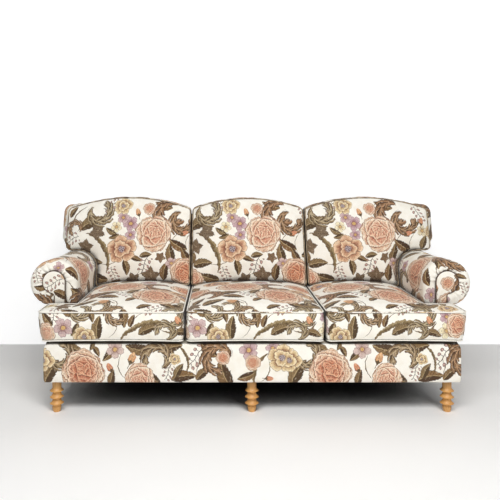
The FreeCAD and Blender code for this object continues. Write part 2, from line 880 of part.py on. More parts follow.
def sub_parts():
    parts = {}
    for name, x, y in leg_places():
        parts[name] = turned_leg().translated(V(x, y, 0))
    parts["leg_bolts"] = leg_bolts()
    parts["leg_blocks"] = leg_blocks()
    parts["front_rail"] = front_rail()
    parts["rear_rail"] = rear_rail()
    parts["side_rail_right"] = side_rail()
    parts["side_rail_left"] = mirrored(side_rail())
    parts["centre_stretcher"] = centre_stretcher()
    parts["dust_cover"] = dust_cover()
    parts["front_border"] = front_border()
    parts["seat_springs"] = seat_springs()
    parts["spring_clips"] = spring_clips()
    parts["seat_platform"] = seat_platform()
    front_board, rear_board = arm_board_places()
    arm_parts = {
        "arm_cover": arm_cover(),
        "outside_arm": outside_arm(),
        "arm_front_board": arm_board(front_board),
        "arm_rear_board": arm_board(rear_board),
        "arm_top_rail": arm_top_rail(),
        "arm_facing": arm_facing(),
        "arm_facing_welt": arm_facing_welt(),
    }
    for name, shape in arm_parts.items():
        parts[name + "_right"] = shape
        parts[name + "_left"] = mirrored(shape)
    parts["back_posts"] = back_posts()
    parts["back_top_rail"] = back_top_rail()
    parts["back_lower_rail"] = back_lower_rail()
    parts["back_webbing"] = back_webbing()
    parts["back_padding"] = back_padding()
    parts["outside_back"] = outside_back()
    makers = {
        "seat_cushion": seat_cushion,
        "seat_core": seat_core,
        "seat_welt": seat_welt,
        "seat_zip": seat_zip,
        "back_cushion": back_cushion,
        "back_fill": back_fill,
    }
    for name, make in makers.items():
        left = make("left")
        parts[name + "_left"] = left
        parts[name + "_middle"] = make("middle")
        parts[name + "_right"] = mirrored(left)
    return parts


os.makedirs("parts", exist_ok=True)
for name, shape in sub_parts().items():
    shape.exportStep(os.path.join("parts", name + ".step"))
    bounds = shape.BoundBox
    corners = (bounds.XMin, bounds.XMax, bounds.YMin, bounds.YMax, bounds.ZMin, bounds.ZMax)
    print(name, len(shape.Solids), shape.isValid(), round(shape.Volume / 1e6, 3), [round(v, 1) for v in corners])
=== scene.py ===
import json
import math

import bmesh
import bpy
import numpy as np
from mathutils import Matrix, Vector
from mathutils.geometry import delaunay_2d_cdt
from mathutils.kdtree import KDTree


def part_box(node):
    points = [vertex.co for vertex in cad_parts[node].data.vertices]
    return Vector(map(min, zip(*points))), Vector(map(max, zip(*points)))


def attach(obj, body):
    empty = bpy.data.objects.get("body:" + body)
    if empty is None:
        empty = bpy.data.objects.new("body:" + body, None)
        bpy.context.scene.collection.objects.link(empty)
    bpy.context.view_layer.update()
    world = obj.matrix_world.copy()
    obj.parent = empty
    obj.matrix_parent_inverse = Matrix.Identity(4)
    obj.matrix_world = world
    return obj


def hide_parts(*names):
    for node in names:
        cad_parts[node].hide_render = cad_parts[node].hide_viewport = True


# English roll arm sofa. Metres, +Z up, X across the sofa, -Y is the front.

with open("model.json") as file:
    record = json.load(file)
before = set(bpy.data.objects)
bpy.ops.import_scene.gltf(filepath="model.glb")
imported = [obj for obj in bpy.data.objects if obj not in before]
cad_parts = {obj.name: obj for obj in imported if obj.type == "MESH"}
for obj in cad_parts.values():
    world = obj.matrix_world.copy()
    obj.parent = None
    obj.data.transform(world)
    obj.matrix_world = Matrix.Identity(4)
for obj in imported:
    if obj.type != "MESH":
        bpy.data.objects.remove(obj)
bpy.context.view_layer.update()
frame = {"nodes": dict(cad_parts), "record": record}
nodes = frame["nodes"]

SIDES = ("left", "middle", "right")

# Places read from the frame
border_low, border_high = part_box("front_border")
front_y = border_low.y
border_bottom = border_low.z
border_top = border_high.z
border_half = border_high.x
arm_low, arm_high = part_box("arm_cover_right")
arm_inner_x = arm_low.x
arm_outer_x = arm_high.x
arm_top = arm_high.z
arm_front_y = arm_low.y
facing_outer_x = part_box("arm_facing_right")[1].x
back_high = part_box("outside_back")[1]
frame_top = back_high.z
back_half = back_high.x

# Roll of the right arm: an inner and an outer circle that meet on its top
ROLL_RADIUS = 0.105
INNER_ROLL_RADIUS = 0.108
roll_x = arm_outer_x - ROLL_RADIUS
roll_z = arm_top - ROLL_RADIUS
inner_roll_x = arm_inner_x + INNER_ROLL_RADIUS
inner_roll_z = arm_top - INNER_ROLL_RADIUS

# Worn top of the arm, which sinks towards the back
REAR_FALL = 0.016
FALL_START_Y = -0.28
FALL_RUN = 0.36
FALL_FOOT_Z = 0.46

# Rake of the back
BACK_FOOT_Y = 0.360
rake = (back_high.y - BACK_FOOT_Y) / (frame_top - border_bottom)
BACK_THICKNESS = 0.090
BACK_SKIN = 0.008

# Air between neighbouring covers
CLEARANCE = 0.0005
REAR_INSET = BACK_SKIN + CLEARANCE


def back_plane_y(z, inward=0.0):
    """Y of the raked plane of the outside back at a height, or of a plane inward of it."""
    return BACK_FOOT_Y + (z - border_bottom) * rake - inward


def fallen(y, z):
    """Height of a point of the arm once its worn top has sunk."""
    share = np.clip((y - FALL_START_Y) / FALL_RUN, 0, 1)
    share = share * share * (3 - 2 * share)
    return z - REAR_FALL * share * np.clip((z - FALL_FOOT_Z) / (arm_top - FALL_FOOT_Z), 0, 1)


# Colours, written as they look on a screen


def linear(red, green, blue):
    """Scene colour of a screen colour given in 0 to 255."""
    def channel(value):
        value /= 255
        return value / 12.92 if value <= 0.04045 else ((value + 0.055) / 1.055) ** 2.4
    return (channel(red), channel(green), channel(blue), 1.0)


GROUND = linear(248, 244, 234)
GROUND_SHADE = linear(238, 229, 212)
INK = linear(64, 46, 36)


# Formulas in a material's node tree


class Term:
    """A number in a material's node tree, so that shader formulas can be written as formulas."""

    def __init__(self, tree, socket):
        self.tree = tree
        self.socket = socket

    def math(self, operation, *others):
        node = self.tree.nodes.new("ShaderNodeMath")
        node.operation = operation
        for entry, value in zip(node.inputs, (self,) + others):
            join(self.tree, value, entry)
        return Term(self.tree, node.outputs[0])

    def __add__(self, other):
        return self.math("ADD", other)

    def __radd__(self, other):
        return self.math("ADD", other)

    def __sub__(self, other):
        return self.math("SUBTRACT", other)

    def __rsub__(self, other):
        return (self * -1).math("ADD", other)

    def __mul__(self, other):
        return self.math("MULTIPLY", other)

    def __truediv__(self, other):
        return self.math("DIVIDE", other)

    def __pow__(self, other):
        return self.math("POWER", other)

    def __abs__(self):
        return self.math("ABSOLUTE")

    def sin(self):
        return self.math("SINE")

    def fract(self):
        return self.math("FRACT")

    def floor(self):
        return self.math("FLOOR")

    def smaller(self, other):
        return self.math("MINIMUM", other)

    def larger(self, other):
        return self.math("MAXIMUM", other)

    def step(self, low, high):
        """0 below low, 1 above high and a smooth rise between. low may be the higher one."""
        node = self.tree.nodes.new("ShaderNodeMapRange")
        node.interpolation_type = "SMOOTHSTEP"
        join(self.tree, self, node.inputs["Value"])
        if low < high:
            node.inputs["From Min"].default_value = low
            node.inputs["From Max"].default_value = high
            return Term(self.tree, node.outputs["Result"])
        node.inputs["From Min"].default_value = high
        node.inputs["From Max"].default_value = low
        node.inputs["To Min"].default_value = 1.0
        node.inputs["To Max"].default_value = 0.0
        return Term(self.tree, node.outputs["Result"])


def join(tree, value, entry):
    """Feeds a Term, a socket, a number or a colour into a node's input."""
    if isinstance(value, Term):
        value = value.socket
    if isinstance(value, bpy.types.NodeSocket):
        tree.links.new(value, entry)
    else:
        entry.default_value = value


def mix(tree, share, a, b):
    """Colour a where share is 0 and b where it is 1."""
    node = tree.nodes.new("ShaderNodeMix")
    node.data_type = "RGBA"
    join(tree, share, node.inputs[0])
    join(tree, a, node.inputs[6])
    join(tree, b, node.inputs[7])
    return node.outputs[2]


def noise(tree, vector, scale, detail=2.0, roughness=0.5):
    """Smooth random variation about 0.5."""
    node = tree.nodes.new("ShaderNodeTexNoise")
    join(tree, vector, node.inputs["Vector"])
    node.inputs["Scale"].default_value = scale
    node.inputs["Detail"].default_value = detail
    node.inputs["Roughness"].default_value = roughness
    return Term(tree, node.outputs["Fac"])


def combine(tree, x, y, z=0.0):
    """A vector made of three numbers."""
    node = tree.nodes.new("ShaderNodeCombineXYZ")
    for entry, value in zip(node.inputs, (x, y, z)):
        join(tree, value, entry)
    return node.outputs[0]


def parts_of(tree, vector):
    """The three numbers of a vector."""
    node = tree.nodes.new("ShaderNodeSeparateXYZ")
    join(tree, vector, node.inputs[0])
    return [Term(tree, socket) for socket in node.outputs]


def openness(tree, distance, samples):
    """1 on open faces, falling towards 0 in nooks narrower than the distance."""
    node = tree.nodes.new("ShaderNodeAmbientOcclusion")
    node.samples = samples
    node.inputs["Distance"].default_value = distance
    return Term(tree, node.outputs["AO"])


def raise_bumps(tree, shader, height, strength, depth):
    """Lets a shader's normal follow a height, whose full range is the depth in metres."""
    bump = tree.nodes.new("ShaderNodeBump")
    bump.inputs["Strength"].default_value = strength
    bump.inputs["Distance"].default_value = depth
    join(tree, height, bump.inputs["Height"])
    join(tree, bump.outputs[0], shader.inputs["Normal"])


def new_material(name):
    """A new material, its node tree and its shader."""
    material = bpy.data.materials.new(name)
    material.use_nodes = True
    tree = material.node_tree
    return material, tree, tree.nodes["Principled BSDF"]


def arctan2(y, x):
    """The angle of a place, in radians."""
    return y.math("ARCTAN2", x)


def length2(x, y):
    """How far a place is from the middle."""
    return (x * x + y * y).math("SQRT")


# Motifs of the print. Each works in its own coordinates, where it lies within 1 of the centre, and
# returns how much of it shows and its colour. The tint runs from 0 to 1 and varies the colour.


def rose(tree, x, y, tint):
    """A full cabbage rose: rings of scalloped petals, cream outside and deep within."""
    r_edge = length2(x, y)
    x = x - (1 - r_edge) * 0.16
    y = y - (1 - r_edge) * 0.10
    r = length2(x, y)
    angle = arctan2(y, x)
    swirl = (angle * 1.5 + r * 2.5).sin() * 0.42
    ring = (r * 5.0 + swirl).floor()
    scallop = abs((angle * 2 + ring * 1.7 + tint).sin())
    petal = (r * 5.0 + swirl + scallop * 0.75).fract()
    streak = noise(tree, combine(tree, angle * 6, r * 2, ring), 3.4, 3.0)
    outline = 0.88 + (angle * 3 + tint * 5).sin() * 0.05 + abs((angle * 4 + 1).sin()) * 0.07
    shows = (outline - r_edge).step(-0.015, 0.015)
    light = mix(tree, tint, linear(242, 212, 182), linear(228, 168, 130))
    middle = mix(tree, tint, linear(212, 146, 118), linear(190, 106, 74))
    deep = mix(tree, tint, linear(160, 88, 70), linear(132, 66, 48))
    outer_share = (r_edge + streak * 0.3).step(0.55, 0.95)
    light = mix(tree, outer_share * 0.8, light, linear(248, 236, 214))
    middle = mix(tree, outer_share * 0.7, middle, linear(232, 204, 172))
    deep = mix(tree, outer_share * 0.5, deep, linear(196, 146, 112))
    body = petal * 0.85 + streak * 0.9 - 0.35
    colour = mix(tree, body.step(0.05, 0.40), deep, middle)
    colour = mix(tree, body.step(0.42, 0.72), colour, light)
    fleck = noise(tree, combine(tree, angle * 11, r * 3, ring), 4.6, 2.0)
    fleck_colour = mix(tree, tint, linear(150, 84, 76), linear(116, 60, 46))
    colour = mix(tree, fleck.step(0.56, 0.70) * 0.55, colour, fleck_colour)
    colour = mix(tree, fleck.step(0.42, 0.30) * 0.50, colour, linear(250, 236, 210))
    line = petal.step(0.18, 0.03)
    colour = mix(tree, line * 0.85, colour, linear(108, 60, 48))
    rim = (outline - r_edge).step(0.06, 0.01)
    colour = mix(tree, rim * 0.7, colour, linear(136, 92, 66))
    return shows, colour


def poppy(tree, x, y, tint):
    """An open bloom: five broad, ruffled petals, three inner ones and a pale, dotted heart."""
    r = length2(x, y)
    angle = arctan2(y, x)
    streak = noise(tree, combine(tree, angle * 7, r * 1.3, tint), 2.6, 3.0)
    blotch = noise(tree, combine(tree, x, y, tint), 2.4, 2.0)
    lobes = abs((angle * 2.5 + tint * 3).sin())
    ruffle = (angle * 11 + tint * 7).sin() * 0.022
    uneven = (angle * 2 + tint * 9).sin() * 0.055 + (angle * 3 + 2).sin() * 0.030
    outline = 0.68 + lobes ** 0.55 * 0.22 + ruffle + uneven
    shows = (outline - r).step(-0.015, 0.015)
    inner_lobes = abs((angle * 1.5 + tint * 5 + 0.9).sin())
    inner_outline = 0.34 + inner_lobes ** 0.6 * 0.22 + ruffle
    inner = (inner_outline - r).step(-0.01, 0.02)
    light = mix(tree, tint, linear(238, 206, 172), linear(244, 230, 192))
    middle = mix(tree, tint, linear(200, 148, 118), linear(216, 188, 142))
    deep = mix(tree, tint, linear(140, 84, 66), linear(150, 112, 80))
    far = (outline - r) * (1 - inner) * 2.2 + (inner_outline - r) * inner * 2.4
    shade = streak * 0.7 + blotch * 0.5 - far * 0.85 + 0.22
    colour = mix(tree, shade.step(0.05, 0.45), deep, middle)
    colour = mix(tree, shade.step(0.40, 0.80), colour, light)
    colour = mix(tree, abs(inner_outline - r).step(0.04, 0.01) * 0.75, colour, linear(122, 72, 54))
    colour = mix(tree, lobes.step(0.16, 0.04) * (1 - inner) * 0.8, colour, linear(118, 72, 52))
    heart = (r + streak * 0.14).step(0.31, 0.22)
    dots = ((angle * 5).sin() * (r * 40).sin()).step(-0.2, 0.5)
    heart_colour = mix(tree, dots, linear(110, 88, 96), linear(206, 194, 192))
    colour = mix(tree, heart, colour, heart_colour)
    colour = mix(tree, (outline - r).step(0.05, 0.01) * 0.75, colour, linear(122, 78, 54))
    return shows, colour


def small_flower(tree, x, y, tint):
    """A five-petalled mauve flower with a yellow eye. A high tint makes it cream."""
    r = length2(x, y)
    angle = arctan2(y, x)
    lobes = abs((angle * 2.5).sin())
    outline = 0.56 + lobes ** 0.6 * 0.34 + (angle * 15).sin() * 0.03
    shows = (outline - r).step(-0.03, 0.03)
    streak = noise(tree, combine(tree, angle * 6, r * 2, tint), 3.4, 3.0)
    pale = mix(tree, tint, linear(206, 176, 180), linear(244, 234, 200))
    deep = mix(tree, tint, linear(150, 104, 112), linear(200, 176, 130))
    colour = mix(tree, (r * 0.6 + streak * 0.9).step(0.45, 0.9), deep, pale)
    colour = mix(tree, (lobes + (streak - 0.5)).step(0.30, 0.02) * 0.8, colour, linear(118, 76, 82))
    colour = mix(tree, r.step(0.34, 0.24) * 0.6, colour, linear(130, 78, 70))
    colour = mix(tree, r.step(0.22, 0.16), colour, linear(212, 174, 112))
    colour = mix(tree, (outline - r).step(0.09, 0.01) * 0.6, colour, linear(116, 78, 82))
    return shows, colour


def leaf(tree, x, y, tint):
    """A pointed leaf with a midrib and slanting veins, light on one side and dark on the other."""
    bend = (1 - x * x) * 0.14
    y = y - bend
    tooth = ((x - abs(y) * 0.9) * 11 / math.pi).fract()
    width = ((1 - x * x).larger(0.0) ** 0.75) * (0.40 - x * 0.12 + tooth * 0.07)
    shows = (width - abs(y)).step(-0.015, 0.02) * (1 - x * x).step(0.0, 0.05)
    veins = ((x - abs(y) * 0.9) * 22).sin()
    streak = noise(tree, combine(tree, x * 2, y * 6, tint), 4.0)
    light = mix(tree, tint, linear(140, 118, 82), linear(132, 96, 60))
    dark = mix(tree, tint, linear(82, 64, 42), linear(72, 48, 32))
    side = (y * 8 + (streak - 0.5) * 3).step(-0.6, 0.6)
    colour = mix(tree, side, dark, light)
    colour = mix(tree, veins.step(0.55, 0.95) * 0.55, colour, linear(70, 52, 36))
    colour = mix(tree, abs(y).step(0.045, 0.015), colour, linear(178, 154, 112))
    colour = mix(tree, (width - abs(y)).step(0.06, 0.01) * 0.85, colour, INK)
    return shows, colour


def lobed_leaf(tree, x, y, tint):
    """A dark, five-pointed leaf with a toothed edge."""
    r = length2(x, y)
    angle = arctan2(y, x)
    point = abs((angle * 2.5 / math.pi).fract() - 0.5) * 2
    tooth = abs((angle * 12.5 / math.pi).fract() - 0.5)
    outline = 0.50 + (point ** 1.2) * 0.36 + tooth * 0.12
    shows = (outline - r).step(-0.02, 0.02)
    vein = (1 - point) * r
    streak = noise(tree, combine(tree, x * 4, y * 4, tint), 2.0)
    dark = mix(tree, tint, linear(66, 48, 40), linear(84, 54, 38))
    light = mix(tree, tint, linear(122, 104, 84), linear(134, 100, 70))
    colour = mix(tree, (streak + vein).step(0.35, 0.75), dark, light)
    colour = mix(tree, vein.step(0.05, 0.015) * 0.7, colour, linear(158, 136, 104))
    colour = mix(tree, (outline - r).step(0.06, 0.01) * 0.8, colour, linear(58, 42, 34))
    return shows, colour


def scroll_leaf(tree, x, y, tint):
    """A curled acanthus leaf: a spine bent round a circle, with slanting lobes on both sides."""
    r = length2(x, y)
    angle = arctan2(y, x)
    run = (angle + 2.7) / 5.0
    across = r - 0.55
    body = (run.larger(0.0) * (1.06 - run).larger(0.0)) ** 0.5 * 2
    outer_lobe = (run * 6.5 - across * 4.0 + (across * 14).sin() * 0.12).fract()
    inner_lobe = (run * 5.5 + across * 5.0).fract()
    outer_round = (outer_lobe * (1 - outer_lobe) * 4) ** 0.45
    inner_round = (inner_lobe * (1 - inner_lobe) * 4) ** 0.5
    out = body * (0.10 + outer_round * 0.30)
    inside = body * (0.06 + inner_round * 0.16)
    shows = (out - across).step(-0.015, 0.02) * (across + inside).step(-0.015, 0.02)
    shows = shows * run.step(0.0, 0.03) * run.step(1.0, 0.97)
    streak = noise(tree, combine(tree, run * 5, across * 14, tint), 3.0, 3.0)
    base = mix(tree, tint, linear(146, 126, 92), linear(138, 98, 66))
    deep = mix(tree, tint, linear(72, 55, 41), linear(68, 42, 30))
    pale = mix(tree, tint, linear(200, 186, 152), linear(190, 144, 106))
    side = (across * 30).step(-0.5, 0.5)
    lobe = outer_lobe * side + inner_lobe * (1 - side)
    shade = lobe * 0.8 + streak * 0.6
    colour = mix(tree, shade.step(0.35, 0.75), deep, base)
    colour = mix(tree, shade.step(0.72, 1.02) * 0.85, colour, pale)
    hatch = (lobe * 19 + streak * 5).sin()
    colour = mix(tree, hatch.step(0.3, 0.9) * 0.5, colour, deep)
    colour = mix(tree, abs(across).step(0.035, 0.008) * 0.85, colour, pale)
    edge = (out - across).smaller(across + inside)
    colour = mix(tree, edge.step(0.05, 0.01) * 0.8, colour, INK)
    return shows, colour


def stem(tree, x, y, tint):
    """A bowed stroke that tapers to both ends. A high tint makes it a long, slim leaf."""
    bow = (1 - x * x) * 0.42
    across = y - bow + 0.2
    taper = (1 - x * x).larger(0.0) ** 0.6
    width = taper * (tint * 0.10 + 0.028)
    shows = (width - abs(across)).step(-0.006, 0.012) * (1 - x * x).step(0.0, 0.03)
    streak = noise(tree, combine(tree, x * 6, across * 20, tint), 3.0)
    colour = mix(tree, streak.step(0.35, 0.65), linear(84, 66, 46), linear(134, 112, 76))
    colour = mix(tree, (across / 0.05).step(0.2, 0.9) * tint, colour, linear(162, 142, 102))
    return shows, colour


def bud(tree, x, y, tint):
    """A peach bud on a short stalk, held by dark sepals."""
    width = ((0.75 - x).larger(0.0) * (x + 0.45).larger(0.0)).math("SQRT") * (0.62 - x * 0.14)
    petal = (width - abs(y)).step(-0.02, 0.03)
    streak = noise(tree, combine(tree, x * 3, y * 7, tint), 3.0)
    light = mix(tree, tint, linear(236, 200, 150), linear(232, 172, 132))
    deep = mix(tree, tint, linear(196, 136, 92), linear(184, 96, 72))
    colour = mix(tree, (streak + abs(y) * 0.8).step(0.4, 0.85), light, deep)
    colour = mix(tree, abs(y - x * 0.22).step(0.05, 0.01) * 0.6, colour, linear(150, 84, 60))
    sepal_width = (x + 0.62).larger(0.0) * 0.75
    sepal = (sepal_width - abs(y)).step(-0.02, 0.02) * (x + abs((y * 9).sin()) * 0.18).step(0.02, -0.04)
    stalk = (abs(y + (x + 0.5) * 0.2) * -1 + 0.035).step(-0.01, 0.01)
    stalk = stalk * x.step(-0.35, -0.42) * x.step(-1.0, -0.96)
    green = sepal.larger(stalk)
    colour = mix(tree, green, colour, linear(92, 74, 52))
    return petal.larger(green), colour


def sprig(tree, x, y, tint):
    """A thin bowed stalk with side shoots that end in berries. Its colours don't vary."""
    y = y - (x * 2.6).sin() * 0.14
    far = abs(y)
    cell = ((x * 2.3 + far * 0.9 + y.step(-0.01, 0.01) * 0.5).fract() - 0.5) / 2.3
    berry = length2(cell, far - 0.40)
    inside = abs(x).step(0.92, 0.86)
    ball = berry.step(0.150, 0.120) * inside
    shoots = abs(cell).step(0.030, 0.015) * far.step(0.34, 0.30) * inside
    stalk = far.step(0.035, 0.018) * abs(x).step(0.98, 0.94)
    colour = mix(tree, berry.step(0.04, 0.12), linear(206, 172, 158), linear(112, 74, 72))
    colour = mix(tree, ball, linear(84, 66, 52), colour)
    return ball.larger(shoots.larger(stalk)), colour


# Motifs in the order they are laid down, each over the ones before it. Those ending in _a and _b are
# two channels of one motif, so that two of a kind can lie close together.
MOTIFS = {
    "sprig": sprig,
    "stem_a": stem,
    "stem_b": stem,
    "leaf_a": leaf,
    "leaf_b": leaf,
    "lobed": lobed_leaf,
    "scroll_a": scroll_leaf,
    "scroll_b": scroll_leaf,
    "small_a": small_flower,
    "small_b": small_flower,
    "bud": bud,
    "poppy": poppy,
    "rose": rose,
}

# Motif coordinates of cloth that lies outside every motif
NOWHERE = 9.0

# How far the motifs' edges waver, as a share of their size
EDGE_SHAKE = 0.18
THREADS_PER_METRE = 900.0


def floral_material():
    """Cream tapestry cloth with the motifs woven in, and shade painted dark into its nooks and seams. It
    reads where each motif lies from the mesh.
    """
    material, tree, shader = new_material("floral_fabric")
    node = tree.nodes.new("ShaderNodeUVMap")
    node.uv_map = "cloth"
    cloth = node.outputs[0]
    mottle = noise(tree, cloth, 22.0, 3.0)
    colour = mix(tree, mottle.step(0.35, 0.75) * 0.6, GROUND, GROUND_SHADE)
    warp = tree.nodes.new("ShaderNodeTexNoise")
    join(tree, cloth, warp.inputs["Vector"])
    warp.inputs["Scale"].default_value = 60.0
    warp.inputs["Detail"].default_value = 2.0
    shake = tree.nodes.new("ShaderNodeSeparateColor")
    join(tree, warp.outputs["Color"], shake.inputs[0])
    drawn = None
    for name, draw in MOTIFS.items():
        place = tree.nodes.new("ShaderNodeAttribute")
        place.attribute_name = name
        x, y, tint = parts_of(tree, place.outputs["Vector"])
        x = x + (Term(tree, shake.outputs[0]) - 0.5) * EDGE_SHAKE
        y = y + (Term(tree, shake.outputs[1]) - 0.5) * EDGE_SHAKE
        shows, motif_colour = draw(tree, x, y, tint)
        colour = mix(tree, shows, colour, motif_colour)
        drawn = shows if drawn is None else drawn.larger(shows)
    u, v = parts_of(tree, cloth)[:2]
    hatch = noise(tree, combine(tree, u * 1.0 + v * 0.6, v * 0.35), 300.0, 2.0)
    colour = mix(tree, drawn * hatch.step(0.52, 0.68) * 0.46, colour, INK)
    blush = noise(tree, combine(tree, v, u), 75.0, 2.0)
    colour = mix(tree, drawn * blush.step(0.55, 0.75) * 0.30, colour, linear(244, 226, 196))
    weave, slub_and_weave_shade = weave_terms(tree, u, v)
    # Painted shade in the hollows of the weave, mixed with the threads' own random tone: the cloth
    # darkens where the second term is low
    colour = mix(tree, (1 - slub_and_weave_shade) * 0.12, colour, linear(150, 132, 108))
    # Painted shade: the cloth's colour turns near black where it lies in a narrow nook, as between
    # cushions and along seams
    depth = openness(tree, 0.045, 6).step(0.80, 0.26)
    colour = mix(tree, depth * 0.93, colour, linear(34, 24, 20))
    join(tree, colour, shader.inputs["Base Color"])
    finish_cloth(tree, shader, weave)
    return material


def weave_terms(tree, u, v):
    """Height of the weave, and a share that is low in the weave's hollows and along a slow variation of
    its threads, from the cloth's own coordinates.
    """
    turns = THREADS_PER_METRE * 2 * math.pi
    weave = (u * turns).sin() * (v * turns * 0.8).sin() * 0.5 + 0.5
    slub = noise(tree, combine(tree, u * 0.3, v), 700.0, 2.0)
    slub_and_weave_shade = (weave * 0.5 + slub * 0.7).step(0.2, 0.8)
    return weave * 0.6 + slub * 0.6, slub_and_weave_shade


def finish_cloth(tree, shader, height):
    """The soft, dull surface of the cloth."""
    raise_bumps(tree, shader, height, 0.35, 0.0006)
    shader.inputs["Roughness"].default_value = 0.86
    shader.inputs["Specular IOR Level"].default_value = 0.25
    shader.inputs["Sheen Weight"].default_value = 0.12
    shader.inputs["Sheen Roughness"].default_value = 0.5


# Where the motifs lie. Each layout is a window of cloth in metres, and each line places one motif:
# its kind, its centre, its size from the centre outwards, its turn in degrees and its tint.

BACK_PRINT = [
    ("rose", 0.082, 0.288, 0.104, 20, 0.15),
    ("poppy", -0.088, 0.204, 0.087, 0, 0.15),
    ("poppy", -0.095, 0.436, 0.056, 40, 0.95),
    ("small", -0.046, 0.340, 0.047, 10, 0.0),
    ("small", -0.088, 0.372, 0.038, 40, 0.1),
    ("small", -0.044, 0.280, 0.034, 70, 0.0),
    ("small", -0.122, 0.322, 0.034, 20, 1.0),
    ("rose", 0.050, 0.420, 0.036, 80, 0.75),
    ("bud", -0.008, 0.396, 0.036, 110, 0.3),
    ("scroll", 0.170, 0.392, 0.108, 205, 0.9),
    ("scroll", 0.232, 0.352, 0.088, 250, 0.7),
    ("leaf", 0.130, 0.442, 0.052, 160, 0.9),
    ("scroll", -0.222, 0.404, 0.092, 300, 0.1),
    ("leaf", -0.262, 0.340, 0.070, 28, 0.1),
    ("stem", -0.262, 0.348, 0.090, 24, 0.4),
    ("lobed", -0.226, 0.294, 0.052, 50, 0.0),
    ("leaf", -0.150, 0.300, 0.034, 150, 0.1),
    ("leaf", -0.134, 0.272, 0.030, 200, 0.4),
    ("stem", -0.206, 0.196, 0.124, 300, 0.9),
    ("lobed", -0.292, 0.214, 0.050, 10, 0.2),
    ("leaf", -0.250, 0.122, 0.055, 12, 0.2),
    ("leaf", -0.216, 0.056, 0.058, 162, 0.3),
    ("rose", -0.300, 0.042, 0.058, 120, 0.3),
    ("leaf", -0.066, 0.106, 0.044, 280, 0.3),
    ("leaf", -0.010, 0.150, 0.034, 340, 0.6),
    ("leaf", 0.042, 0.170, 0.034, 10, 0.2),
    ("sprig", 0.036, 0.118, 0.058, 60, 0.2),
    ("lobed", 0.070, 0.058, 0.060, 18, 0.3),
    ("lobed", -0.024, 0.040, 0.046, 40, 0.1),
    ("leaf", -0.124, 0.014, 0.040, 30, 0.5),
    ("rose", 0.252, 0.078, 0.086, 200, 0.95),
    ("small", 0.180, 0.128, 0.036, 0, 0.2),
    ("leaf", 0.148, 0.086, 0.052, 80, 0.8),
    ("leaf", 0.178, 0.178, 0.056, 100, 0.5),
    ("leaf", 0.214, 0.226, 0.056, 150, 0.9),
    ("leaf", 0.256, 0.172, 0.046, 120, 0.9),
    ("bud", 0.244, 0.286, 0.034, 20, 0.9),
    ("sprig", 0.180, 0.330, 0.040, 20, 0.1),
    ("stem", 0.214, 0.272, 0.050, 30, 0.1),
    ("small", 0.330, 0.300, 0.036, 40, 0.9),
    ("leaf", 0.340, 0.240, 0.044, 70, 0.1),
    ("sprig", 0.322, 0.390, 0.050, 100, 0.6),
    ("bud", 0.330, 0.345, 0.036, 80, 0.7),
    ("poppy", 0.388, 0.290, 0.044, 0, 0.9),
    ("leaf", 0.330, 0.180, 0.050, 200, 0.6),
    ("stem", -0.340, 0.380, 0.070, 60, 0.2),
    ("leaf", -0.372, 0.402, 0.036, 60, 0.3),
    ("sprig", -0.372, 0.250, 0.050, 20, 0.8),
    ("scroll", -0.352, 0.310, 0.056, 120, 0.7),
    ("leaf", -0.322, 0.140, 0.050, 240, 0.4),
    ("leaf", -0.400, 0.200, 0.044, 300, 0.8),
    ("stem", -0.150, 0.140, 0.070, 200, 0.0),
    ("stem", 0.010, 0.060, 0.050, 80, 0.0),
    ("stem", 0.110, 0.370, 0.060, 340, 0.0),
    ("stem", 0.270, 0.240, 0.060, 80, 0.0),
    ("sprig", -0.160, 0.440, 0.050, 200, 0.4),
    ("lobed", 0.120, 0.160, 0.034, 60, 0.6),
    ("leaf", 0.296, 0.330, 0.030, 40, 0.3),
    ("sprig", -0.130, 0.070, 0.046, 100, 0.4),
    ("bud", 0.110, 0.012, 0.030, 200, 0.5),
]

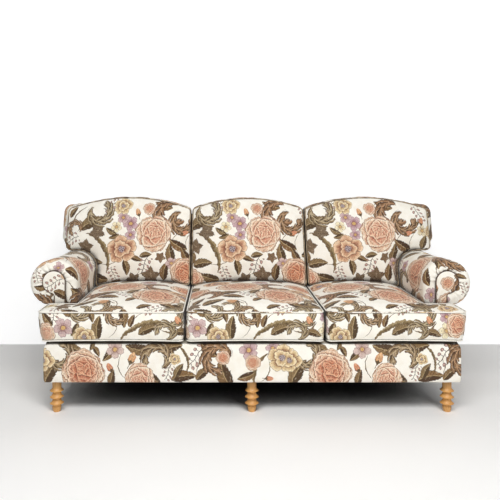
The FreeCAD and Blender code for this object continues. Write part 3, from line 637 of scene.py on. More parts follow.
SEAT_PRINT = [
    ("small", -0.154, -0.066, 0.050, 10, 0.15),
    ("leaf", -0.104, -0.074, 0.034, 240, 0.2),
    ("poppy", -0.062, -0.108, 0.056, 0, 0.95),
    ("leaf", 0.000, -0.066, 0.054, 84, 0.2),
    ("leaf", 0.214, -0.078, 0.046, 24, 0.1),
    ("scroll", 0.290, -0.086, 0.060, 70, 0.1),
    ("leaf", 0.366, -0.094, 0.038, 340, 0.4),
    ("stem", 0.330, -0.070, 0.056, 200, 0.6),
    ("stem", 0.210, -0.074, 0.130, 12, 0.8),
    ("scroll", 0.318, -0.012, 0.066, 30, 0.0),
    ("leaf", 0.146, -0.036, 0.030, 70, 0.8),
    ("stem", 0.160, -0.040, 0.052, 60, 0.1),
    ("small", 0.424, -0.080, 0.042, 0, 1.0),
    ("rose", 0.476, -0.056, 0.062, 40, 0.7),
    ("small", 0.424, -0.018, 0.036, 30, 0.0),
    ("scroll", 0.078, -0.004, 0.062, 200, 0.5),
    ("leaf", 0.104, -0.022, 0.046, 280, 0.6),
    ("scroll", -0.088, 0.012, 0.060, 330, 0.1),
    ("leaf", -0.132, 0.010, 0.048, 160, 0.4),
    ("leaf", -0.036, -0.012, 0.034, 290, 0.3),
    ("leaf", -0.082, 0.094, 0.060, 30, 0.3),
    ("lobed", -0.176, 0.062, 0.046, 30, 0.2),
    ("bud", 0.012, 0.092, 0.050, 160, 0.2),
    ("stem", 0.048, 0.080, 0.058, 300, 0.1),
    ("rose", 0.236, 0.186, 0.124, 200, 0.55),
    ("leaf", 0.128, 0.118, 0.038, 40, 0.8),
    ("leaf", 0.352, 0.076, 0.078, 200, 0.2),
    ("scroll", 0.400, 0.106, 0.080, 100, 0.2),
    ("poppy", 0.444, 0.040, 0.050, 0, 0.8),
    ("rose", 0.050, 0.372, 0.128, 80, 0.35),
    ("scroll", -0.116, 0.214, 0.090, 60, 0.9),
    ("leaf", -0.020, 0.222, 0.070, 10, 0.7),
    ("rose", -0.190, 0.330, 0.090, 20, 0.6),
    ("scroll", 0.230, 0.370, 0.110, 200, 0.9),
    ("poppy", 0.350, 0.270, 0.080, 0, 0.4),
    ("leaf", 0.410, 0.190, 0.060, 120, 0.9),
    ("rose", 0.360, 0.420, 0.086, 0, 0.8),
    ("poppy", -0.070, 0.500, 0.080, 0, 0.2),
    ("small", 0.160, 0.500, 0.050, 0, 0.1),
    ("leaf", -0.240, 0.200, 0.050, 200, 0.2),
    ("rose", -0.236, -0.090, 0.050, 200, 0.2),
    ("leaf", -0.226, -0.026, 0.040, 130, 0.6),
    ("small", -0.240, 0.090, 0.040, 0, 0.9),
    ("lobed", 0.250, 0.560, 0.060, 10, 0.2),
    ("leaf", 0.060, 0.560, 0.070, 40, 0.3),
    ("leaf", -0.200, 0.460, 0.070, 300, 0.5),
    ("stem", 0.066, -0.070, 0.050, 250, 0.0),
    ("stem", -0.016, 0.050, 0.060, 30, 0.0),
    ("sprig", 0.240, 0.024, 0.048, 10, 0.3),
    ("sprig", -0.200, 0.000, 0.044, 80, 0.3),
    ("leaf", 0.190, 0.040, 0.036, 20, 0.5),
    ("bud", 0.350, -0.040, 0.036, 120, 0.6),
    ("sprig", 0.090, 0.190, 0.056, 120, 0.3),
    ("scroll", -0.316, -0.060, 0.056, 40, 0.2),
    ("rose", -0.400, -0.070, 0.056, 20, 0.6),
    ("leaf", -0.460, -0.040, 0.044, 200, 0.3),
    ("leaf", 0.556, -0.080, 0.046, 30, 0.2),
    ("poppy", 0.626, -0.062, 0.052, 0, 0.8),
    ("scroll", 0.706, -0.064, 0.052, 120, 0.3),
    ("leaf", 0.010, 0.160, 0.056, 340, 0.8),
    ("leaf", 0.120, 0.240, 0.050, 60, 0.3),
    ("scroll", -0.010, 0.040, 0.060, 20, 0.3),
    ("leaf", 0.300, 0.050, 0.050, 330, 0.6),
    ("leaf", -0.150, 0.130, 0.050, 60, 0.7),
]

BORDER_PERIOD = 1.113
BORDER_PRINT = [
    ("poppy", -0.946, 0.100, 0.060, 20, 0.95),
    ("scroll", -0.868, 0.128, 0.080, 330, 0.2),
    ("leaf", -0.906, 0.044, 0.070, 60, 0.3),
    ("leaf", -0.802, 0.148, 0.044, 340, 0.3),
    ("rose", -0.764, 0.052, 0.104, 30, 0.85),
    ("leaf", -0.704, 0.140, 0.028, 300, 0.6),
    ("leaf", -0.724, 0.166, 0.024, 250, 0.3),
    ("small", -0.618, 0.150, 0.046, 20, 0.3),
    ("leaf", -0.650, 0.128, 0.040, 230, 0.5),
    ("bud", -0.544, 0.104, 0.046, 70, 0.15),
    ("bud", -0.640, 0.064, 0.036, 120, 0.9),
    ("stem", -0.590, 0.070, 0.060, 100, 0.1),
    ("leaf", -0.630, 0.020, 0.040, 80, 0.5),
    ("rose", -0.508, 0.020, 0.074, 200, 0.1),
    ("scroll", -0.432, 0.110, 0.088, 90, 0.3),
    ("leaf", -0.514, 0.156, 0.060, 170, 0.4),
    ("leaf", -0.362, 0.152, 0.052, 20, 0.5),
    ("poppy", -0.350, 0.106, 0.030, 0, 1.0),
    ("stem", -0.312, 0.110, 0.080, 290, 0.5),
    ("sprig", -0.252, 0.118, 0.058, 40, 0.3),
    ("leaf", -0.308, 0.022, 0.060, 8, 0.8),
    ("leaf", -0.330, 0.052, 0.040, 60, 0.2),
    ("scroll", -0.152, 0.106, 0.092, 160, 0.8),
    ("leaf", -0.120, 0.040, 0.074, 110, 0.6),
    ("leaf", -0.196, 0.150, 0.050, 140, 0.9),
    ("rose", -0.132, 0.112, 0.034, 0, 0.9),
    ("small", -0.016, 0.146, 0.048, 0, 0.1),
    ("rose", 0.002, 0.090, 0.038, 60, 0.8),
    ("leaf", -0.030, 0.030, 0.042, 200, 0.8),
    ("stem", 0.030, 0.060, 0.084, 70, 1.0),
    ("stem", 0.062, 0.050, 0.060, 250, 0.1),
    ("small", 0.092, 0.156, 0.036, 0, 0.1),
    ("poppy", 0.134, 0.112, 0.072, 40, 0.9),
    ("bud", 0.072, 0.018, 0.030, 0, 0.9),
    ("stem", -0.690, 0.060, 0.050, 130, 0.0),
    ("leaf", -0.220, 0.040, 0.044, 40, 0.5),
    ("stem", -0.230, 0.072, 0.060, 60, 0.0),
    ("leaf", -0.440, 0.022, 0.040, 130, 0.4),
    ("sprig", -0.380, 0.048, 0.040, 60, 0.6),
]

FIELD_WIDTH = 0.62
FIELD_HEIGHT = 0.56
FIELD_PRINT = [
    ("rose", 0.300, 0.270, 0.118, 20, 0.7),
    ("poppy", 0.120, 0.180, 0.082, 0, 0.2),
    ("rose", 0.040, 0.440, 0.086, 90, 0.25),
    ("poppy", 0.500, 0.460, 0.070, 0, 0.9),
    ("scroll", 0.480, 0.170, 0.110, 200, 0.8),
    ("scroll", 0.210, 0.430, 0.092, 80, 0.3),
    ("scroll", 0.560, 0.330, 0.080, 300, 0.2),
    ("leaf", 0.420, 0.360, 0.066, 30, 0.7),
    ("leaf", 0.390, 0.150, 0.060, 250, 0.3),
    ("leaf", 0.190, 0.280, 0.056, 130, 0.2),
    ("leaf", 0.030, 0.290, 0.060, 80, 0.5),
    ("leaf", 0.290, 0.120, 0.050, 20, 0.9),
    ("leaf", 0.130, 0.520, 0.056, 200, 0.4),
    ("leaf", 0.380, 0.500, 0.056, 160, 0.2),
    ("leaf", 0.560, 0.060, 0.056, 60, 0.6),
    ("small", 0.200, 0.090, 0.042, 0, 0.1),
    ("small", 0.300, 0.440, 0.040, 30, 0.0),
    ("small", 0.600, 0.210, 0.036, 10, 0.9),
    ("bud", 0.310, 0.030, 0.044, 60, 0.6),
    ("bud", 0.430, 0.270, 0.036, 300, 0.2),
    ("sprig", 0.030, 0.100, 0.050, 20, 0.3),
    ("sprig", 0.300, 0.530, 0.046, 70, 0.3),
    ("lobed", 0.440, 0.040, 0.052, 10, 0.2),
    ("lobed", 0.590, 0.520, 0.048, 50, 0.1),
    ("stem", 0.100, 0.340, 0.090, 320, 0.7),
    ("stem", 0.370, 0.090, 0.070, 40, 0.1),
    ("stem", 0.480, 0.560, 0.080, 10, 0.8),
    ("leaf", 0.240, 0.360, 0.040, 310, 0.8),
    ("sprig", 0.500, 0.280, 0.044, 80, 0.2),
    ("leaf", 0.070, 0.040, 0.046, 330, 0.7),
    ("stem", 0.230, 0.200, 0.060, 70, 0.0),
    ("small", 0.480, 0.380, 0.038, 0, 0.2),
]

CHANNELS = {
    "leaf": ("leaf_a", "leaf_b"),
    "stem": ("stem_a", "stem_b"),
    "scroll": ("scroll_a", "scroll_b"),
    "small": ("small_a", "small_b"),
}


def spread(layout):
    """Shares the motifs of a layout among the channels, so that none meets another in its channel."""
    placed = {}
    for kind, u, v, size, turn, tint in layout:
        names = CHANNELS.get(kind, (kind,))
        chosen = names[-1]
        for name in names:
            others = placed.get(name, [])
            if all(math.hypot(u - o[0], v - o[1]) > (size + o[2]) * 0.95 for o in others):
                chosen = name
                break
        placed.setdefault(chosen, []).append((u, v, size, math.radians(turn), tint))
    return {name: np.array(rows) for name, rows in placed.items()}


# Each layout has its own stretch of the cloth's first coordinate, so that one piece can mix them
LAYOUTS = {
    "back": (0.0, spread(BACK_PRINT), None),
    "seat": (20.0, spread(SEAT_PRINT), None),
    "border": (40.0, spread(BORDER_PRINT), (BORDER_PERIOD, 50.0)),
    "field": (60.0, spread(FIELD_PRINT), (FIELD_WIDTH, FIELD_HEIGHT)),
}


# How far a layout reaches along the first coordinate, and a motif in its own coordinates
LAYOUT_REACH = 9.0
MOTIF_REACH = 1.35


def on(layout, u, v):
    """A place on the cloth, as the mesh keeps it."""
    return (u + LAYOUTS[layout][0], v)


def lay(layout, us, vs):
    """The places on the cloth of a row of points."""
    return [on(layout, u, v) for u, v in zip(*np.broadcast_arrays(us, vs))]


def print_fabric(obj):
    """Writes where each corner of the mesh lies in the nearest motif of each channel.

    A face takes a motif whose size reaches it, with some room to spare, and all its corners take
    the same one.
    """
    mesh = obj.data
    corners = len(mesh.loops)
    cloth = np.empty(corners * 2, np.float32)
    mesh.uv_layers["cloth"].data.foreach_get("uv", cloth)
    cloth = cloth.reshape(-1, 2).astype(float)
    totals = np.empty(len(mesh.polygons), np.int32)
    mesh.polygons.foreach_get("loop_total", totals)
    starts = np.concatenate(([0], np.cumsum(totals)[:-1]))
    owner = np.repeat(np.arange(len(totals)), totals)
    centres = np.add.reduceat(cloth, starts, axis=0) / totals[:, None]
    for channel in MOTIFS:
        local = np.full((corners, 3), NOWHERE)
        for start, placed, period in LAYOUTS.values():
            rows = placed.get(channel)
            if rows is None:
                continue
            near = np.flatnonzero(np.abs(centres[:, 0] - start) < LAYOUT_REACH)
            if not len(near):
                continue
            delta = centres[near][:, None, :] - np.array([start, 0.0]) - rows[None, :, :2]
            jump = np.zeros_like(delta)
            if period:
                jump = np.round(delta / np.array(period)) * np.array(period)
            reach = np.hypot(*np.moveaxis(delta - jump, 2, 0)) / rows[None, :, 2]
            best = reach.argmin(axis=1)
            pick = np.arange(len(near))
            hit = reach[pick, best] < MOTIF_REACH
            faces = near[hit]
            which = np.full(len(totals), -1)
            which[faces] = best[hit]
            shift = np.zeros((len(totals), 2))
            shift[faces] = jump[pick, best][hit]
            chosen = which[owner]
            mine = np.flatnonzero(chosen >= 0)
            row = rows[chosen[mine]]
            offset = cloth[mine] - np.array([start, 0.0]) - row[:, :2] - shift[owner[mine]]
            cosine = np.cos(row[:, 3])
            sine = np.sin(row[:, 3])
            local[mine, 0] = (offset[:, 0] * cosine + offset[:, 1] * sine) / row[:, 2]
            local[mine, 1] = (offset[:, 1] * cosine - offset[:, 0] * sine) / row[:, 2]
            local[mine, 2] = row[:, 4]
        attribute = mesh.attributes.new(channel, "FLOAT_VECTOR", "CORNER")
        attribute.data.foreach_set("vector", local.astype(np.float32).ravel())
    obj.data.materials.clear()
    obj.data.materials.append(floral)


# Building covers

WELD = 0.0003
PUFF_FRAMES = 20
PUFF_SLACK = 0.02
PUFF_CAP = 0.010
CORD_SIDES = 8


def curve_points(corners, spacing):
    """Points round a closed outline of (x, y, radius) corners, with each corner rounded."""
    count = len(corners)
    path = []
    for i, (x, y, radius) in enumerate(corners):
        if not radius:
            path.append(Vector((x, y)))
            continue
        before = Vector(corners[i - 1][:2]) - Vector((x, y))
        after = Vector(corners[(i + 1) % count][:2]) - Vector((x, y))
        half = before.angle(after) / 2
        back = radius / math.tan(half)
        start = Vector((x, y)) + before.normalized() * back
        end = Vector((x, y)) + after.normalized() * back
        middle = (before.normalized() + after.normalized()).normalized() * (radius / math.sin(half))
        centre = Vector((x, y)) + middle
        steps = max(2, round(radius * (math.pi - 2 * half) / spacing))
        for k in range(steps + 1):
            t = k / steps
            ray = (start - centre).lerp(end - centre, t).normalized() * radius
            path.append(centre + ray)
    return even_points(np.array([tuple(p) for p in path]), spacing)


def even_points(path, spacing):
    """The closed path again, cut into near-equal steps between its sharper places."""
    result = []
    count = len(path)
    for i in range(count):
        a = path[i]
        b = path[(i + 1) % count]
        steps = max(1, round(float(np.hypot(*(b - a))) / spacing))
        for k in range(steps):
            result.append(a + (b - a) * k / steps)
    return np.array(result)


def edge_distance(points, loop):
    """Distance of each point to a closed loop of points."""
    a = loop[None, :, :]
    b = np.roll(loop, -1, axis=0)[None, :, :]
    p = points[:, None, :]
    along = b - a
    share = ((p - a) * along).sum(-1) / np.maximum((along**2).sum(-1), 1e-12)
    nearest = a + along * np.clip(share, 0, 1)[..., None]
    return np.hypot(*np.moveaxis(p - nearest, 2, 0)).min(axis=1)


def fill_loop(loop, spacing):
    """Points and faces that fill a flat loop: a square grid inside and triangles along its edge."""
    low = loop.min(axis=0)
    high = loop.max(axis=0)
    xs = np.arange(low[0] + spacing / 2, high[0], spacing)
    ys = np.arange(low[1] + spacing / 2, high[1], spacing)
    grid = np.array(np.meshgrid(xs, ys)).reshape(2, -1).T
    a = loop[None, :, :]
    b = np.roll(loop, -1, axis=0)[None, :, :]
    crosses = (a[..., 1] > grid[:, None, 1]) != (b[..., 1] > grid[:, None, 1])
    rise = np.where(np.abs(b[..., 1] - a[..., 1]) < 1e-12, 1e-12, b[..., 1] - a[..., 1])
    hits = grid[:, None, 0] < (b[..., 0] - a[..., 0]) * (grid[:, None, 1] - a[..., 1]) / rise + a[..., 0]
    inside = (crosses & hits).sum(axis=1) % 2 == 1
    grid = grid[inside]
    grid = grid[edge_distance(grid, loop) > spacing * 0.55]
    points = np.concatenate((loop, grid))
    count = len(loop)
    edges = [(i, (i + 1) % count) for i in range(count)]
    result = delaunay_2d_cdt([Vector(p) for p in points], edges, [], 1, 1e-7)
    return np.array([tuple(v) for v in result[0]]), [tuple(f) for f in result[2]]


def outward_of(ahead):
    """Unit vectors at right angles to the directions along an outline that runs anticlockwise."""
    outward = np.stack((ahead[:, 1], -ahead[:, 0]), axis=1)
    return outward / np.linalg.norm(outward, axis=1)[:, None]


def closed(path):
    """The path with its first point again at its end."""
    return np.vstack((path, path[:1]))


def along_loop(loop):
    """The direction along a closed loop at each of its points, not of unit length."""
    return np.roll(loop, -1, axis=0) - np.roll(loop, 1, axis=0)


def run_of(path):
    """Distance run along a path at each of its points."""
    steps = np.linalg.norm(np.diff(path, axis=0), axis=1)
    return np.concatenate(([0.0], np.cumsum(steps)))


class Cover:
    """Panels of cloth sewn along their edges. Every corner keeps its own place on the cloth."""

    def __init__(self):
        self.points = []
        self.faces = []
        self.cloth = []

    def panel(self, points, faces, cloth, flip=False):
        """A flat or shaped panel of points and faces."""
        start = len(self.points)
        self.points.extend(tuple(p) for p in points)
        self.cloth.extend(tuple(c) for c in cloth)
        for face in faces:
            face = tuple(start + i for i in face)
            self.faces.append(face[::-1] if flip else face)

    def strip(self, rows, cloth_rows):
        """A grid of rows of points."""
        width = len(rows[0])
        points = [p for row in rows for p in row]
        cloth = [c for row in cloth_rows for c in row]
        faces = []
        for r in range(len(rows) - 1):
            for i in range(width - 1):
                k = r * width + i
                faces.append((k, k + 1, k + 1 + width, k + width))
        self.panel(points, faces, cloth)

    def build(self, name):
        """One mesh with the panels' shared edges joined."""
        mesh = bpy.data.meshes.new(name)
        mesh.from_pydata(self.points, [], self.faces)
        layer = mesh.uv_layers.new(name="cloth")
        ids = np.empty(len(mesh.loops), np.int32)
        mesh.loops.foreach_get("vertex_index", ids)
        layer.data.foreach_set("uv", np.array(self.cloth, np.float32)[ids].ravel())
        work = bmesh.new()
        work.from_mesh(mesh)
        bmesh.ops.remove_doubles(work, verts=work.verts, dist=WELD)
        bmesh.ops.join_triangles(
            work, faces=work.faces, cmp_uvs=True, angle_face_threshold=0.7, angle_shape_threshold=0.7
        )
        bmesh.ops.recalc_face_normals(work, faces=work.faces)
        work.to_mesh(mesh)
        work.free()
        mesh.shade_smooth()
        obj = bpy.data.objects.new(name, mesh)
        bpy.context.collection.objects.link(obj)
        return obj


def get_points(obj):
    """The places of a mesh's vertices."""
    data = np.empty(len(obj.data.vertices) * 3, np.float32)
    obj.data.vertices.foreach_get("co", data)
    return data.reshape(-1, 3).astype(float)


def set_points(obj, points):
    """Moves a mesh's vertices."""
    obj.data.vertices.foreach_set("co", points.astype(np.float32).ravel())
    obj.data.update()


def nearest_vertices(obj, places):
    """The vertex of the mesh at each of the places."""
    points = get_points(obj)
    tree = KDTree(len(points))
    for i, p in enumerate(points):
        tree.insert(p, i)
    tree.balance()
    return [tree.find(p)[1] for p in places]


def puff(obj, pinned, pressure=4.0):
    """Cloth simulation with air inside. The pinned vertices hold, and no point moves past the cap."""
    start = get_points(obj)
    group = obj.vertex_groups.new(name="seams")
    group.add([int(i) for i in pinned], 1.0, "REPLACE")
    cloth = obj.modifiers.new("puff", "CLOTH")
    settings = cloth.settings
    settings.quality = 6
    settings.mass = 0.25
    settings.tension_stiffness = 18
    settings.compression_stiffness = 12
    settings.shear_stiffness = 6
    settings.bending_stiffness = 0.4
    settings.shrink_min = -PUFF_SLACK
    settings.shrink_max = -PUFF_SLACK
    settings.use_pressure = True
    settings.uniform_pressure_force = pressure
    settings.vertex_group_mass = "seams"
    settings.effector_weights.gravity = 0
    cloth.point_cache.frame_start = 1
    cloth.point_cache.frame_end = PUFF_FRAMES
    scene = bpy.context.scene
    for number in range(1, PUFF_FRAMES + 1):
        scene.frame_set(number)
    shape = obj.evaluated_get(bpy.context.evaluated_depsgraph_get()).to_mesh()
    data = np.empty(len(shape.vertices) * 3, np.float32)
    shape.vertices.foreach_get("co", data)
    moved = data.reshape(-1, 3).astype(float) - start
    far = np.linalg.norm(moved, axis=1)
    keep = PUFF_CAP * np.tanh(far / PUFF_CAP) / np.maximum(far, 1e-9)
    obj.modifiers.remove(cloth)
    obj.vertex_groups.remove(group)
    scene.frame_set(1)
    set_points(obj, start + moved * keep[:, None])


def smooth(obj):
    """Subdivides the mesh once and applies it."""
    refine = obj.modifiers.new("refine", "SUBSURF")
    refine.levels = 1
    refine.render_levels = 1
    shape = bpy.data.meshes.new_from_object(obj.evaluated_get(bpy.context.evaluated_depsgraph_get()))
    obj.modifiers.remove(refine)
    old = obj.data
    obj.data = shape
    bpy.data.meshes.remove(old)
    shape.name = obj.name


def cord_along(cover, path, radius, layout):
    """Adds to a cover a round welt along a closed path of points."""
    path = np.array(path)
    ahead = along_loop(path)
    ahead /= np.maximum(np.linalg.norm(ahead, axis=1), 1e-9)[:, None]
    flat = abs(ahead[:, 2]).mean() < 0.5
    level = np.array([0.0, 0.0, 1.0]) if flat else np.array([0.0, 1.0, 0.0])
    side = np.cross(ahead, level)
    side /= np.maximum(np.linalg.norm(side, axis=1), 1e-9)[:, None]
    up = np.cross(side, ahead)
    run = run_of(closed(path))
    rows = []
    cloth = []
    for k in range(CORD_SIDES + 1):
        angle = 2 * math.pi * k / CORD_SIDES
        rows.append(closed(path + radius * (side * math.cos(angle) + up * math.sin(angle))))
        cloth.append(lay(layout, run, k * radius))
    cover.strip(rows, cloth)


# Floral cloth, made once
floral = floral_material()


def dress(obj, body, node):
    """Prints a padded cover, attaches it to its body and hides the CAD node it stands for."""
    print_fabric(obj)
    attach(obj, body)
    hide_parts(node)


# Seat cushions

SEAM_X = 0.316
SEAT_FRONT_Y = -0.4693
SEAT_REAR_Y = 0.2945
EAR_REAR_Y = -0.2995
SEAT_EDGE_X = 0.3080
SEAT_ARM_X = 0.8260
SEAT_EAR_X = 0.9660
SEAT_LOW = 0.3365
SEAT_WELT_Z = 0.4640
SEAT_CROWN = 0.033
SEAT_SHOULDER = 0.0050
CROWN_RUN = 0.30
BOXING_BULGE = 0.0045
BOXING_ROWS = 10
FOOT_ARCH = 0.0040
FOOT_DRAW = 0.017
SEAT_SWAY = 0.0145
WELT_RADIUS = 0.0030
WELT_LIFT = 0.0005
SPACING = 0.012
SEAT_LEAF_X = {"left": -0.691, "middle": -0.105, "right": 0.443}
SIGNS = {"left": -1, "middle": 0, "right": 1}


def seat_outline(side):
    """Corners of a seat cushion seen from above, each with its radius.

    The outer cushions reach in front of the arm.
    """
    front = SEAT_FRONT_Y
    rear = SEAT_REAR_Y
    if side == "middle":
        e = SEAT_EDGE_X
        return [(-e, front, 0.020), (e, front, 0.020), (e, rear, 0.030), (-e, rear, 0.030)]
    inner = SEAM_X + 0.008
    corners = [
        (inner, front, 0.020),
        (SEAT_EAR_X, front, 0.024),
        (SEAT_EAR_X, EAR_REAR_Y, 0.016),
        (SEAT_ARM_X, EAR_REAR_Y, 0.008),
        (SEAT_ARM_X, rear, 0.030),
        (inner, rear, 0.030),
    ]
    return corners if side == "right" else [(-x, y, r) for x, y, r in corners][::-1]


def seat_crown(side, x, y, d):
    """Height of the top of a seat cushion over its welt, where d is how far in from the edge."""
    if side == "middle":
        across = 1 - np.abs(x / SEAT_EDGE_X) ** 2.3
    else:
        place = (x * SIGNS[side] - (SEAM_X + SEAT_ARM_X) / 2) / ((SEAT_ARM_X - SEAM_X) / 2 + 0.002)
        across = 1 - np.clip(np.abs(place), 0, 1) ** 2.3
    run = y - SEAT_FRONT_Y
    front = 1 - np.clip(1 - run / CROWN_RUN, 0, 1) ** 2.2
    fall = 1 - 0.52 * np.clip((run - CROWN_RUN) / CROWN_RUN, 0, 1) ** 1.4
    edge = 1 - np.exp(-d / 0.018)
    return SEAT_CROWN * np.clip(across, 0, 1) * front * fall * edge + SEAT_SHOULDER * edge


def puckers(u, depth, seed, pitch=0.030, size=0.0011):
    """Small drawn-in folds along a seam, fading within a few centimetres of it."""
    wave = np.sin(u * 2 * math.pi / pitch + 1.9 * np.sin(u * 23.0 + seed) + seed)
    wave = wave * (0.6 + 0.4 * np.sin(u * 41.0 + seed * 3.1))
    return size * wave * np.exp(-depth / 0.022) * np.clip(depth / 0.004, 0, 1)


def end_draw(x):
    """How far the foot of the boxing is drawn in at the outer end of a seat cushion."""
    return FOOT_DRAW * np.sign(x) * np.clip((np.abs(x) - 0.90) / 0.05, 0, 1)


def foot_arch(x, y, middle_x):
    """How far the foot of a seat cushion arches up at its front."""
    arch = FOOT_ARCH * (1 - np.clip(np.abs(x - middle_x) / 0.31, 0, 1) ** 2)
    return arch * (1 - np.clip((y - SEAT_FRONT_Y) / 0.10, 0, 1))


def seat_sway(points):
    """The places of a seat cushion's points, which lie a little off centre."""
    moved = np.array(points, dtype=float)
    inner = np.clip(1 - (moved[:, 0] / 0.80) ** 2, 0, 1)
    behind = np.clip((moved[:, 1] - SEAT_FRONT_Y) / 0.7, 0, 1)
    moved[:, 0] += SEAT_SWAY * inner * (1 - 0.35 * behind)
    return moved


def boxing_order(loop, middle_x):
    """The loop's points in order from the middle of the rear, and their run from the front's middle."""
    run = run_of(closed(loop))
    first = int(np.argmin(np.abs(loop[:, 0] - middle_x) + 10 * np.abs(loop[:, 1] - SEAT_FRONT_Y)))
    length = run[-1]
    places = (run - run[first] + length / 2) % length - length / 2
    cut = int(np.argmax(np.abs(places[:-1])))
    order = np.roll(np.arange(len(loop)), -cut)
    order = np.append(order, order[0])
    along = places[order]
    if along[0] > 0:
        along[0] -= length
    if along[-1] < 0:
        along[-1] += length
    return order, along


def seat_cushion(side):
    """One seat cushion: top and bottom panels, a boxing strip between them and two welts."""
    loop = curve_points(seat_outline(side), SPACING)
    outward = outward_of(along_loop(loop))
    leaf_x = SEAT_LEAF_X[side]
    middle_x = SIGNS[side] * (SEAM_X + SEAT_EAR_X) / 2
    seed = 1.0 + SIDES.index(side) * 2.3
    points, faces = fill_loop(loop, SPACING)
    d = edge_distance(points, loop)
    x = points[:, 0]
    y = points[:, 1]
    top_z = SEAT_WELT_Z + seat_crown(side, x, y, d) + puckers(x + y, d, seed)
    low_z = SEAT_LOW + foot_arch(x, y, middle_x) - 0.0125 * (1 - np.exp(-d / 0.045))
    cover = Cover()
    top_cloth = lay("seat", x - leaf_x, y - SEAT_FRONT_Y)
    cover.panel(np.column_stack((x, y, top_z)), faces, top_cloth)
    low_points = np.column_stack((x - end_draw(x), y, low_z))
    cover.panel(low_points, faces, lay("field", x, y), flip=True)
    order, along = boxing_order(loop, middle_x)
    ring = loop[order]
    low = SEAT_LOW + foot_arch(ring[:, 0], ring[:, 1], middle_x)
    rows = []
    cloth = []
    for k in range(BOXING_ROWS + 1):
        t = k / BOXING_ROWS
        height = low + (SEAT_WELT_Z - low) * t
        bulge = BOXING_BULGE * math.sin(math.pi * t) ** 0.7
        depth = min(t, 1 - t) * (SEAT_WELT_Z - SEAT_LOW)
        fold = puckers(along, depth, seed + 4 * (t > 0.5), 0.034, 0.0012)
        out = ring + outward[order] * (bulge + fold)[:, None]
        out[:, 0] -= end_draw(ring[:, 0]) * (1 - t)
        rows.append(np.column_stack((out, height)))
        cloth.append(lay("seat", along + middle_x - leaf_x, height - SEAT_WELT_Z))
    cover.strip(rows, cloth)
    obj = cover.build("seat_cover_" + side)
    top_loop = np.column_stack((loop, np.full(len(loop), SEAT_WELT_Z)))
    low_loop = rows[0][:-1]
    puff(obj, set(nearest_vertices(obj, top_loop)) | set(nearest_vertices(obj, low_loop)))
    set_points(obj, seat_sway(settled_seat(get_points(obj), side)))
    smooth(obj)
    body = side + "_seat_cushion"
    dress(obj, body, "seat_cushion_" + side)
    welts = Cover()
    cord_along(welts, seat_sway(top_loop) + [0, 0, WELT_LIFT], WELT_RADIUS, "seat")
    cord_along(welts, seat_sway(low_loop) - [0, 0, WELT_LIFT], WELT_RADIUS, "seat")
    cord = welts.build("seat_welts_" + side)
    print_fabric(cord)
    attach(cord, body)
    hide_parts("seat_welt_" + side)


def off_neighbours(x, side, margin):
    """The x of a cushion's points, held off the seams to its neighbours."""
    if side == "middle":
        return np.clip(x, margin - SEAM_X, SEAM_X - margin)
    return SIGNS[side] * np.maximum(SIGNS[side] * x, SEAM_X + margin)


def settled_seat(points, side):
    """A seat cushion's points, held off the platform, its neighbours and the arms."""
    x = off_neighbours(points[:, 0], side, 0.001)
    limit = arm_inner_x - 0.0006
    beside_arm = points[:, 1] > EAR_REAR_Y + 0.004
    x = np.where(beside_arm, np.clip(x, -limit, limit), x)
    z = np.maximum(points[:, 2], border_top + 0.0012)
    return np.column_stack((x, points[:, 1], z))


# Finishes of the parts that keep their CAD shape


def finish_material(name, paint, roughness, metallic=0.0):
    """A material with its own formula: paint returns its colour, its height and how deep that is."""
    material, tree, shader = new_material(name)
    place = tree.nodes.new("ShaderNodeTexCoord").outputs["Object"]
    colour, height, depth = paint(tree, place)
    join(tree, colour, shader.inputs["Base Color"])
    raise_bumps(tree, shader, height, 0.4, depth)
    shader.inputs["Roughness"].default_value = roughness
    shader.inputs["Metallic"].default_value = metallic
    return material


def wood_paint(light, dark, across=260.0, along=14.0):
    """Straight grain that runs up the piece."""
    def paint(tree, place):
        stretch = tree.nodes.new("ShaderNodeMapping")
        join(tree, place, stretch.inputs["Vector"])
        stretch.inputs["Scale"].default_value = (across, across, along)
        grain = noise(tree, stretch.outputs[0], 1.0, 4.0, 0.6)
        slow = noise(tree, place, 9.0, 2.0)
        share = (grain * 0.7 + slow * 0.5 - 0.1).step(0.25, 0.75)
        return mix(tree, share, light, dark), grain, 0.0004
    return paint


def cloth_paint(light, dark, threads=700.0):
    """Plain woven cloth with so many threads to the metre."""
    def paint(tree, place):
        x, y, z = parts_of(tree, place)
        turns = threads * 2 * math.pi
        weave = (x * turns).sin() * ((y + z) * turns).sin() * 0.5 + 0.5
        mottle = noise(tree, place, 40.0, 3.0)
        return mix(tree, mottle.step(0.3, 0.7), light, dark), weave + mottle, 0.0005
    return paint


def foam_paint(light, dark):
    """Open cells, as on the cut face of foam."""
    def paint(tree, place):
        cells = tree.nodes.new("ShaderNodeTexVoronoi")
        join(tree, place, cells.inputs["Vector"])
        cells.inputs["Scale"].default_value = 380.0
        hole = Term(tree, cells.outputs["Distance"])
        mottle = noise(tree, place, 18.0, 2.0)
        return mix(tree, (mottle + hole * 0.3).step(0.3, 0.9), light, dark), hole, 0.0008
    return paint


def metal_paint(light, dark):
    """Metal with fine dull spots."""
    def paint(tree, place):
        spots = noise(tree, place, 160.0, 3.0)
        return mix(tree, spots.step(0.35, 0.7), light, dark), spots, 0.0001
    return paint


